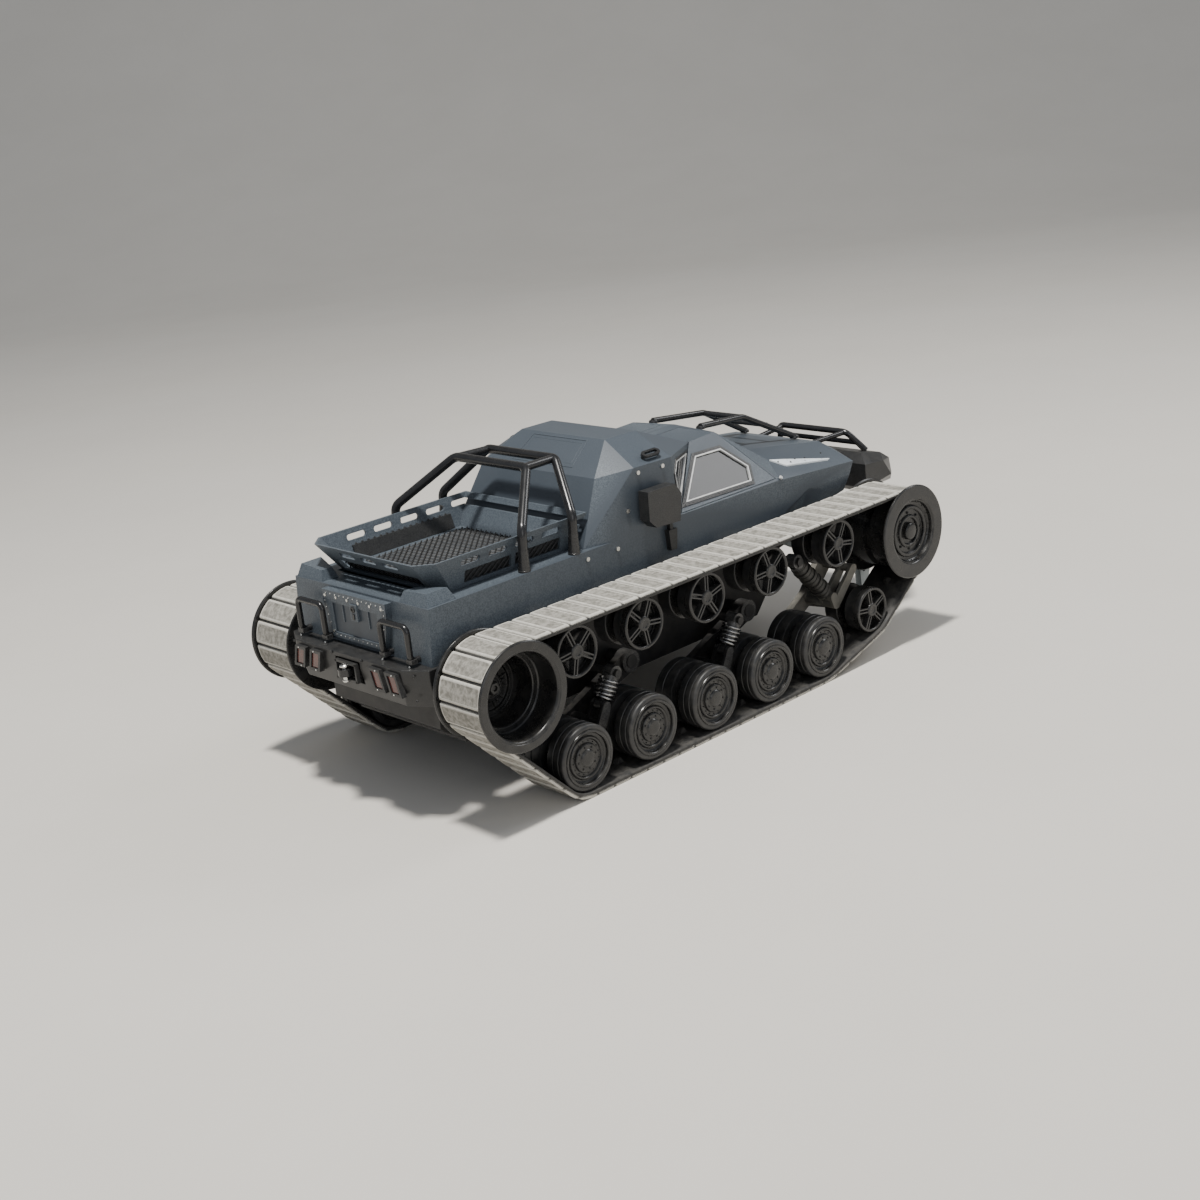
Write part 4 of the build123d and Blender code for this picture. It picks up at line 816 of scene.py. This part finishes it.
def add_spokes(builder, centre, side, hub, rim, y0, y1, spin):
    """Five pairs of ribs between a hub and a rim."""
    for k in range(5):
        angle = math.radians(72 * k + 18 + spin)
        turn = Matrix.Translation((centre.x, 0, centre.z)) @ Matrix.Rotation(-angle, 4, "Y")
        for offset in (-1.35, 1.35):
            low = ((hub - 0.6) * MM, side * y0 * MM, (offset - 0.6) * MM)
            high = ((rim + 0.3) * MM, side * y1 * MM, (offset + 0.6) * MM)
            builder.box(low, high, 0, turn)
        low = ((hub - 0.6) * MM, side * (y0 + 0.2) * MM, -1.2 * MM)
        high = ((rim + 0.3) * MM, side * (y1 - 2.6) * MM, 1.2 * MM)
        builder.box(low, high, 0, turn)


def build_rollers(mats):
    """Return rollers and the small front wheels: spoked face over a dark drum."""
    jobs = []
    for name, side in SIDES:
        jobs.append((f"small_wheel_{name}", side, 18.3, BELT_OUT_MM - 3.0, 9))
        for k in range(1, 6):
            jobs.append((f"return_roller_{name}_{k}", side, 18.85, BELT_OUT_MM - 4.6, 23 * k))
    a, b = BELT_MID_MM - 3.5, BELT_MID_MM + 3.5
    for node, side, radius, face, spin in jobs:
        centre = middle(node)
        back = BELT_IN_MM + 5.0
        core = [
            (BORE_MM, back), (radius - 2.4, back), (radius - 0.5, back + 0.5), (radius, back + 1.4),
            (radius, a - 0.6), (radius - 0.6, a), (8.0, a), (8.0, b), (radius - 1.0, b),
            (radius - 0.5, b + 0.6),
            (radius - 0.5, face - 6.4), (radius - 1.0, face - 6.0), (radius - 2.9, face - 6.2),
            (radius - 3.4, face - 8.0), (8.0, face - 9.5), (6.4, face - 6.0), (5.8, face - 1.0),
            (5.3, face - 0.2), (4.8, face + 0.2), (3.0, face + 0.2), (2.6, face - 0.2), (0, face - 0.2),
            (0, face - 3.0), (BORE_MM, face - 3.0),
        ]
        rim = [
            (radius - 2.6, face - 6.3), (radius - 0.5, face - 6.4), (radius, face - 5.6),
            (radius, face - 0.8), (radius - 0.5, face - 0.1), (radius - 1.2, face),
            (radius - 2.0, face - 0.1), (radius - 2.6, face - 0.9),
        ]
        builder = Builder()
        builder.lathe(core, centre, side, lambda r, d: 1 if r > 16 else 0, 96)
        builder.lathe(rim, centre, side, None, 96)
        add_spokes(builder, centre, side, 5.4, radius - 2.6, face - 6.0, face - 0.6, spin)
        builder.build(f"{node}_finished", node, [mats["wheel"], mats["tyre"]], (node,), 0.15, 30)


# ---- body, bed and fittings ------------------------------------------------------------

def build_body(mats):
    """Painted shell parts with softened edges; the hull's faces lower than 112.5 mm get a darker copy of the
    paint as painted shade.
    """
    # painted shade: hull faces lower than 112.5 mm take slot 1, the darker copy of the paint
    def under_deck(face):
        return 1 if face.center.z < 0.1125 else 0

    softened("hull_shell", "chassis", [mats["paint"], mats["painted_shade_paint"]], 0.7, slot_of=under_deck)
    softened("cargo_tray", "chassis", [mats["paint"]], 0.35)
    softened("tailgate_plate", "chassis", [mats["paint"]], 0.4)
    softened("rear_bumper", "chassis", [mats["plastic"]], 0.8)
    softened("front_bumper", "chassis", [mats["plastic"]], 0.9)
    softened("side_mirrors", "chassis", [mats["plastic"]], 0.7)
    softened("head_lamps", "chassis", [mats["white"]], 0.15)
    softened("tail_lamps", "chassis", [mats["tail"]], 0.35)
    for name, _ in SIDES:
        softened(f"door_{name}", f"door_{name}", [mats["paint"]], 0.35)


def tube_foot(builder, place, along, radius, length):
    """Tapered sleeve on the lower end of a tube."""
    rings = 5
    path = [place + along * (length * k / rings) for k in range(rings + 1)]
    for k in range(rings):
        wide = radius + (1.0 - k / rings) * 0.9 * MM
        builder.tube([path[k], path[k + 1]], wide, 28)
    builder.knob(place, (0, 0, 1), radius + 1.15 * MM, 1.6 * MM, 28, 0.1)


def build_tubes(mats):
    """Roll cage and guards as smooth bent tubes."""
    rear = [(-146.4, 72.6, 152.3), (-144.5, 72.4, 181), (-107, 40.3, 213.5)]
    front = [(-100.1, 73.6, 152.3), (-98.3, 73.6, 180), (-77.3, 38.1, 212.9)]
    cage = Builder()
    for hoop in (rear, front):
        corners = [at(*p) for p in hoop] + [at(x, -y, z) for x, y, z in reversed(hoop)]
        cage.tube(rounded_path(corners, 9 * MM), CAGE_R_MM * MM, 28)
        for side in (1, -1):
            foot = at(hoop[0][0], side * hoop[0][1], hoop[0][2])
            knee = at(hoop[1][0], side * hoop[1][1], hoop[1][2])
            tube_foot(cage, foot, (knee - foot).normalized(), (CAGE_R_MM + 0.05) * MM, 15 * MM)
    for side in (1, -1):
        cage.tube([at(-107, side * 38, 213.3), at(-78, side * 36, 212.7)], 3.0 * MM, 24)
    cage.build("roll_cage_finished", "chassis", [mats["tube"]], ("roll_cage",), angle=50)
    guard = Builder()
    for side in (1, -1):
        corners = [at(86, side * 26.5, 198.6), at(140.5, side * 21.2, 193.7), at(196, side * 27.8, 165.2)]
        guard.tube(rounded_path(corners, 14 * MM), 2.5 * MM, 24)
        guard.knob(at(86.6, side * 26.4, 196.6), (0, 0, 1), 3.8 * MM, 2.6 * MM, 24, 0.1)
        guard.knob(at(194.8, side * 27.7, 164.3), (0, 0, 1), 3.8 * MM, 2.4 * MM, 24, 0.1)
    guard.tube([at(140, -21.5, 193.4), at(140, 21.5, 193.4)], 2.4 * MM, 24)
    guard.tube([at(166, -24, 181.5), at(166, 24, 181.5)], 2.1 * MM, 24)
    corners = [at(262, 48, 140), at(250.7, 37.1, 157.5), at(250.7, -37.1, 157.5), at(262, -48, 140)]
    guard.tube(rounded_path(corners, 9 * MM), 2.6 * MM, 24)
    for side in (1, -1):
        stay = [at(251.5, side * 34, 156.6), at(225, side * 31, 155.8), at(216, side * 30, 155.5)]
        guard.tube(stay, 2.2 * MM)
    guard.tube([at(256.5, -42, 147.5), at(256.5, 42, 147.5)], 2.2 * MM)
    guard.build("front_guards_finished", "chassis", [mats["tube"]], ("front_guards",), angle=50)


def coil_path(low, high, inset, radius, turns):
    """Points of a close-ended coil between two eyes."""
    axis = (high - low).normalized()
    across = axis.cross(Vector((0, 1, 0))).normalized()
    beside = axis.cross(across)
    length = (high - low).length - 2 * inset
    steps = 26
    path = []
    for i in range(int(turns * steps) + 1):
        share = i / (turns * steps)
        angle = 2 * math.pi * i / steps
        squeeze = min(1.0, max(0.0, share * 1.16 - 0.08))
        path.append(low + axis * (inset + length * squeeze)
                    + (across * math.cos(angle) + beside * math.sin(angle)) * radius)
    return path


def build_springs(mats):
    """Coils on the two rear shock absorbers of a side and a ribbed boot on the front one."""
    y_mid = 105.0
    eyes = {1: ((-118.9, 50), (-104.9, 70)), 2: ((10.15, 50), (24.15, 70)), 3: ((133, 56.5), (96, 96))}
    stands_for = ("shock_springs",)
    for name, side in SIDES:
        for k, ((xa, za), (xb, zb)) in eyes.items():
            low, high = at(xa, side * y_mid, za), at(xb, side * y_mid, zb)
            axis = (high - low).normalized()
            builder = Builder()
            if k < 3:
                builder.tube(coil_path(low, high, 5.4 * MM, 7.0 * MM, 5.0), 0.8 * MM, 10)
                look, slot_name = mats["spring"], "spring_steel"
            else:
                length = (high - low).length
                near, far, ribs = 7.0 * MM, length - 6.0 * MM, 9
                for i in range(ribs):
                    start = low + axis * (near + (far - near) * i / ribs)
                    end = low + axis * (near + (far - near) * (i + 0.62) / ribs)
                    builder.tube([start, end], (7.5 if i % 2 else 6.9) * MM, 28)
                builder.tube([low + axis * near, low + axis * far], 6.5 * MM, 28)
                look, slot_name = mats["boot"], "black_plastic"
            piece = builder.build(f"shock_cover_{name}_{k}", "chassis", [look], stands_for, angle=50)
            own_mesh(piece)
            stands_for = ()


# ---- trim on the body --------------------------------------------------------------------

class Facet:
    """A flat face of the body, with places on it given in millimetres from its first corner."""

    def __init__(self, corner, along, third):
        self.origin = at(*corner)
        self.u = (at(*along) - self.origin).normalized()
        self.normal = self.u.cross(at(*third) - self.origin).normalized()
        if self.normal.dot(self.origin + self.normal - at(20, 0, 120)) < 0:
            self.normal = -self.normal
        self.v = self.normal.cross(self.u)

    def drop(self, point, axis):
        """(u, v) where a line along an axis through a point meets the face."""
        axis = Vector(axis)
        reach = (self.origin - point).dot(self.normal) / axis.dot(self.normal)
        offset = point + axis * reach - self.origin
        return (offset.dot(self.u), offset.dot(self.v))

    def place(self, uv, lift):
        """Point in the frame at (u, v), lifted off the face by metres."""
        return self.origin + self.u * uv[0] + self.v * uv[1] + self.normal * lift


def turned_outline(outline):
    """The outline in anticlockwise order."""
    area = sum(a[0] * b[1] - b[0] * a[1] for a, b in zip(outline, outline[1:] + outline[:1]))
    return outline if area > 0 else outline[::-1]


def grown_outline(outline, amount):
    """Anticlockwise (u, v) outline with each side moved outwards."""
    moved = []
    for i, here in enumerate(outline):
        before, after = Vector(outline[i - 1]), Vector(outline[(i + 1) % len(outline)])
        here = Vector(here)
        a, b = (here - before).normalized(), (after - here).normalized()
        out_a, out_b = Vector((a.y, -a.x)), Vector((b.y, -b.x))
        corner = (out_a + out_b) * (amount / (1 + out_a.dot(out_b)))
        moved.append((here.x + corner.x, here.y + corner.y))
    return moved


def add_ring(builder, facet, outline, inner, outer, low, high, slot):
    """Raised band round an outline on a facet, between two growths and two lifts."""
    loops = [[facet.place(p, lift) for p in grown_outline(outline, growth)]
             for growth, lift in ((inner, low), (outer, low), (outer, high), (inner, high))]
    count = len(outline)
    faces = []
    for i in range(count):
        j = (i + 1) % count
        for ring in range(4):
            other = (ring + 1) % 4
            faces.append((ring * count + i, ring * count + j, other * count + j, other * count + i))
    builder.add([p for loop in loops for p in loop], faces, slot)


def add_rivets(builder, facet, outline, growth, spacing, radius, lift, slot):
    """Small rivets in even steps round an outline."""
    path = [Vector(p) for p in grown_outline(outline, growth)]
    for a, b in zip(path, path[1:] + path[:1]):
        count = max(1, round((b - a).length / spacing))
        for k in range(count):
            place = facet.place(a + (b - a) * (k + 0.5) / count, lift)
            builder.knob(place, facet.normal, radius, radius * 0.7, 8, 0.1, slot)


def flipped(points, side):
    """Drawing points on the left side, or their mirror image."""
    return [(x, side * y, z) for x, y, z in points]


DOOR_FACET = [(3.7, 77.8, 154.0), (118.3, 77.8, 152.7), (52.0, 46.0, 195.5)]
QUARTER_FACET = [(0.0, 77.8, 199.5), (3.7, 77.8, 154.0), (52.0, 46.0, 195.5)]
WINDOW_PLAN = [(16.0, 73.2), (49.2, 53.6), (77.4, 53.8), (94.0, 66.2), (88.6, 73.6)]
QUARTER_SIDE = [(39.5, 190.5), (12.0, 192.8), (4.0, 185.5), (5.5, 168.0), (11.0, 165.5)]


def build_window_frames(mats):
    """Black riveted frames with a pale bead round the door and quarter windows."""
    look = [mats["plastic"], mats["bead"], mats["dark_metal"]]
    for name, side in SIDES:
        door = Facet(*flipped(DOOR_FACET, side))
        outline = turned_outline([door.drop(at(x, side * y, 180), (0, 0, 1)) for x, y in WINDOW_PLAN])
        builder = Builder()
        add_ring(builder, door, outline, -0.5 * MM, 3.0 * MM, -1.2 * MM, 0.7 * MM, 0)
        add_ring(builder, door, outline, -0.9 * MM, 0.1 * MM, -0.6 * MM, 1.0 * MM, 1)
        add_rivets(builder, door, outline, 1.7 * MM, 4.2 * MM, 0.5 * MM, 0.68 * MM, 2)
        builder.build(f"window_frame_{name}", f"door_{name}", look, (), angle=30)
        quarter = Facet(*flipped(QUARTER_FACET, side))
        outline = turned_outline([quarter.drop(at(x, side * 60, z), (0, 1, 0)) for x, z in QUARTER_SIDE])
        builder = Builder()
        add_ring(builder, quarter, outline, -0.5 * MM, 1.9 * MM, -1.2 * MM, 0.6 * MM, 0)
        add_ring(builder, quarter, outline, -0.8 * MM, 0.0, -0.6 * MM, 0.9 * MM, 1)
        add_rivets(builder, quarter, outline, 1.05 * MM, 4.0 * MM, 0.4 * MM, 0.58 * MM, 2)
        builder.build(f"quarter_frame_{name}", "chassis", look, (), angle=30)


def build_cab_trim(mats):
    """Hatch outline on the cab's rear slope, door catches and lamp screws."""
    slope = Facet((-64.0, 63.0, 197.0), (-64.0, -63.0, 197.0), (-34.9, 46.2, 217.7))
    corners = [(-58.2, 33.5), (-37.2, 30.0), (-37.2, -30.0), (-58.2, -33.5)]
    outline = turned_outline([slope.drop(at(x, y, 205), (0, 0, 1)) for x, y in corners])
    hatch = Builder()
    add_ring(hatch, slope, outline, -0.55 * MM, 0.35 * MM, -0.4 * MM, 0.32 * MM, 0)
    add_ring(hatch, slope, outline, -3.4 * MM, -3.1 * MM, -0.4 * MM, 0.12 * MM, 0)
    hatch.build("hatch_outline", "chassis", [mats["paint"]], (), 0.1)
    for name, side in SIDES:
        trim = Builder()
        catch = at(118.6, side * 77.3, 154.2)
        trim.knob(catch, (0.05, side * 0.9, 0.4), 1.7 * MM, 1.6 * MM, 4, 0.1, 1)
        for x, y in ((131, 65.0), (143, 67.6), (158, 69.4), (176, 71.0), (150, 65.9)):
            place = on_top("head_lamps", x, side * y)
            trim.knob(place, (0.05, side * 0.5, 0.86), 0.75 * MM, 0.5 * MM, 10, 0.4, 0)
        trim.build(f"cab_trim_{name}", "chassis", [mats["dark_metal"], mats["bead"]], (), angle=40)


def on_top(node, x, y):
    """The highest point of a CAD node above a place of the drawing."""
    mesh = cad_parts[node].data
    start = at(x, y, 400)
    best = at(x, y, 160)
    for face in mesh.polygons:
        if face.normal.z < 0.2 or (face.center - start).xy.length > 0.08:
            continue
        reach = (face.center - start).dot(face.normal) / face.normal.z
        hit = start + Vector((0, 0, reach))
        corners = [mesh.vertices[i].co for i in face.vertices]
        turns = [(b - a).xy.cross((hit - a).xy) for a, b in zip(corners, corners[1:] + corners[:1])]
        if min(turns) >= 0 or max(turns) <= 0:
            best = hit if hit.z > best.z else best
    return best


def build_grilles(mats):
    """Diamond mesh behind the tray's openings and on its floor."""
    builder = Builder()
    panels = []
    for side in (1, -1):
        low_rear, high_rear = at(-194, side * 60.0, 153.9), at(-194, side * 63.2, 166.2)
        panels.append((low_rear, at(-102, side * 60.0, 153.9), high_rear))
    panels.append((at(-207.6, -47, 153.9), at(-207.6, 47, 153.9), at(-216.2, -47, 166.2)))
    panels.append((at(-196, -52, 154.9), at(-98, -52, 154.9), at(-196, 52, 154.9)))
    for corner, along, up in panels:
        add_mesh(builder, corner, along - corner, up - corner, 5.6 * MM, 0.55 * MM)
    builder.build("diamond_mesh", "chassis", [mats["chassis"]], (), angle=40)


def add_mesh(builder, corner, along, up, cell, radius):
    """Crossed wires in both diagonal directions over a panel."""
    width, height = along.length, up.length
    u, v = along.normalized(), up.normalized()
    lift = u.cross(v) * radius * 0.7
    lines = int((width + height) / cell) + 1
    for k in range(1, lines):
        reach = k * cell
        start = (min(reach, width), max(0.0, reach - width))
        end = (max(0.0, reach - height), min(reach, height))
        for flip in (False, True):
            a, b = start, end
            if flip:
                a, b = (width - start[0], start[1]), (width - end[0], end[1])
            shift = lift if flip else -lift
            p = corner + u * a[0] + v * a[1] + shift
            q = corner + u * b[0] + v * b[1] + shift
            if (q - p).length > cell * 0.3:
                builder.tube([p, q], radius, 6)


def rear_outlines(node):
    """Outer outlines of a CAD node's rearmost flat faces, as [(y, z), ...] lists."""
    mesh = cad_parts[node].data
    rearmost = min(v.co.x for v in mesh.vertices)
    groups = []
    for face in mesh.polygons:
        corners = [mesh.vertices[i].co for i in face.vertices]
        if max(c.x for c in corners) > rearmost + 0.05 * MM:
            continue
        spots = {(round(c.y, 5), round(c.z, 5)) for c in corners}
        touching = [group for group in groups if group & spots]
        groups = [group for group in groups if not group & spots] + [spots.union(*touching)]
    return rearmost, [convex_outline(sorted(group)) for group in groups]


def convex_outline(spots):
    """Corners round a set of sorted points, anticlockwise."""
    chains = []
    for run in (spots, spots[::-1]):
        chain = []
        for spot in run:
            while len(chain) > 1:
                a, b = Vector(chain[-2]), Vector(chain[-1])
                if (b - a).cross(Vector(spot) - b) > 1e-9:
                    break
                chain.pop()
            chain.append(spot)
        chains += chain[:-1]
    return chains


def box_where(node, keep):
    """Box of the vertices of a CAD node that pass a test."""
    kept = [v.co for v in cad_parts[node].data.vertices if keep(v.co)]
    return (Vector(min(p[i] for p in kept) for i in range(3)),
            Vector(max(p[i] for p in kept) for i in range(3)))


class RearFace:
    """A flat face that looks straight back, with places on it as (y, z)."""
    normal = Vector((-1, 0, 0))

    def __init__(self, x):
        self.x = x

    def place(self, yz, lift):
        return Vector((self.x - lift, yz[0], yz[1]))


def build_rear_trim(mats):
    """Lamp bezels, loop feet, hitch surround and pin, and bumper screws."""
    look = [mats["plastic"], mats["steel"], mats["dark_metal"]]
    builder = Builder()
    x, lenses = rear_outlines("tail_lamps")
    face = RearFace(x)
    for outline in lenses:
        add_ring(builder, face, outline, -0.2 * MM, 1.9 * MM, -3.4 * MM, 0.9 * MM, 0)
        middle_y = sum(p[0] for p in outline) / len(outline)
        for z in (min(p[1] for p in outline) - 0.9 * MM, max(p[1] for p in outline) + 0.9 * MM):
            builder.knob((x - 0.9 * MM, middle_y, z), (-1, 0, 0), 0.7 * MM, 0.4 * MM, 8, 0.3, 1)
    rear_x = at(-235, 0, 0).x
    low, high = box_where("body_fittings", lambda p: p.x < rear_x and p.y > 20 * MM)
    for y in (low.y + LOOP_R_MM * MM, high.y - LOOP_R_MM * MM):
        for side in (1, -1):
            centre = Vector((low.x + 3.2 * MM, side * y, low.z + LOOP_R_MM * MM))
            half = Vector((2.6, 3.1, 1.6)) * MM
            builder.box(centre - half, centre + half, 2)
            builder.knob(centre + Vector((-2.5, 0, -3.4)) * MM, (-1, 0, 0), 1.0 * MM, 0.8 * MM, 6, 0.3, 1)
    for side in (1, -1):
        for x, y, z in ((-250.0, 70.5, 108.0), (-250.0, 70.5, 90.5), (-254.2, 17.5, 110.5)):
            axis = (-1, side * (0.5 if y > 60 else 0), 0)
            builder.knob(at(x, side * y, z), axis, 1.1 * MM, 0.8 * MM, 6, 0.3, 2)
    low, high = box_where("body_fittings", lambda p: p.x < rear_x and abs(p.y) < 15 * MM)
    back = low.x + 5.6 * MM
    rim = 1.8 * MM
    for z in (low.z - 0.2 * MM, high.z - rim + 0.2 * MM):
        builder.box((back, low.y, z), (back + 3 * MM, high.y, z + rim), 0)
    for y in (low.y - 0.2 * MM, high.y - rim + 0.2 * MM):
        builder.box((back, y, low.z), (back + 3 * MM, y + rim, high.z), 0)
    pin_x, pin_z = low.x + 5.0 * MM, (low.z + high.z) / 2
    builder.tube([Vector((pin_x, 0, pin_z - 6 * MM)), Vector((pin_x, 0, pin_z + 4.4 * MM))], 1.9 * MM, 20, 1)
    builder.knob((pin_x, 0, pin_z + 4.0 * MM), (0, 0, 1), 3.4 * MM, 1.6 * MM, 20, 0.2, 1)
    builder.knob((pin_x, 0, pin_z - 5.8 * MM), (0, 0, -1), 2.6 * MM, 1.6 * MM, 12, 0.2, 1)
    builder.build("rear_trim", "chassis", look, (), 0.12, 35)


def build_tailgate_trim(mats):
    """Rivets, ribs and a plain latch on the tailgate."""
    builder = Builder()
    x, outlines = rear_outlines("tailgate_plate")
    outline = max(outlines, key=len)
    face = RearFace(x)
    add_rivets(builder, face, outline, -2.2 * MM, 5.2 * MM, 0.55 * MM, 0.0, 1)
    low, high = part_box("tailgate_plate")
    middle_z = (low.z + high.z) / 2
    builder.box((x - 1.0 * MM, -4.2 * MM, middle_z - 6 * MM), (x + 1.6 * MM, 4.2 * MM, middle_z + 6 * MM), 0)
    builder.knob((x - 1.0 * MM, 0, middle_z + 2.6 * MM), (-1, 0, 0), 2.3 * MM, 1.0 * MM, 24, 0.7, 2)
    grip_low, grip_high = middle_z - 4.8 * MM, middle_z - 0.6 * MM
    builder.box((x - 1.6 * MM, -1.1 * MM, grip_low), (x - 0.8 * MM, 1.1 * MM, grip_high), 2)
    for side in (1, -1):
        rib = Vector((x + 0.8 * MM, side * 15 * MM, middle_z))
        half = Vector((0.5, 0.6, 9.5)) * MM
        builder.box(rib - half, rib + half, 0)
    look = [mats["paint"], mats["steel"], mats["dark_metal"]]
    builder.build("tailgate_trim", "chassis", look, (), 0.15, 35)


def paint_nodes(mats):
    """Finishes for the CAD nodes that stay as they are."""
    finish = {
        "chassis_tub": "chassis", "shock_bodies": "dark_metal", "idler_brackets": "cast",
        "bed_grilles": "plastic", "body_fittings": "tube", "body_screws": "steel",
        "battery_pack": "wrap", "drive_motors": "dark_metal",
        "controller": "case", "cockpit_tub": "seat", "quarter_glass": "glass",
    }
    for name, _ in SIDES:
        finish[f"door_glass_{name}"] = "glass"
        for k in range(1, 4):
            finish[f"bogie_arm_{name}_{k}"] = "dark_metal" if k < 3 else "arm"
    for node, mat in finish.items():
        mesh_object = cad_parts[node]
        for slot in mesh_object.material_slots:
            slot.link = "OBJECT"
            slot.material = mats[mat]


def main():
    random.seed(7)
    add_camera()
    add_studio()
    mats = make_materials()
    paint_nodes(mats)
    build_belts(mats)
    build_drive_wheels(mats)
    build_idler_wheels(mats)
    build_road_wheels(mats)
    build_rollers(mats)
    build_body(mats)
    build_tubes(mats)
    build_springs(mats)
    build_window_frames(mats)
    build_cab_trim(mats)
    build_grilles(mats)
    build_rear_trim(mats)
    build_tailgate_trim(mats)


main()
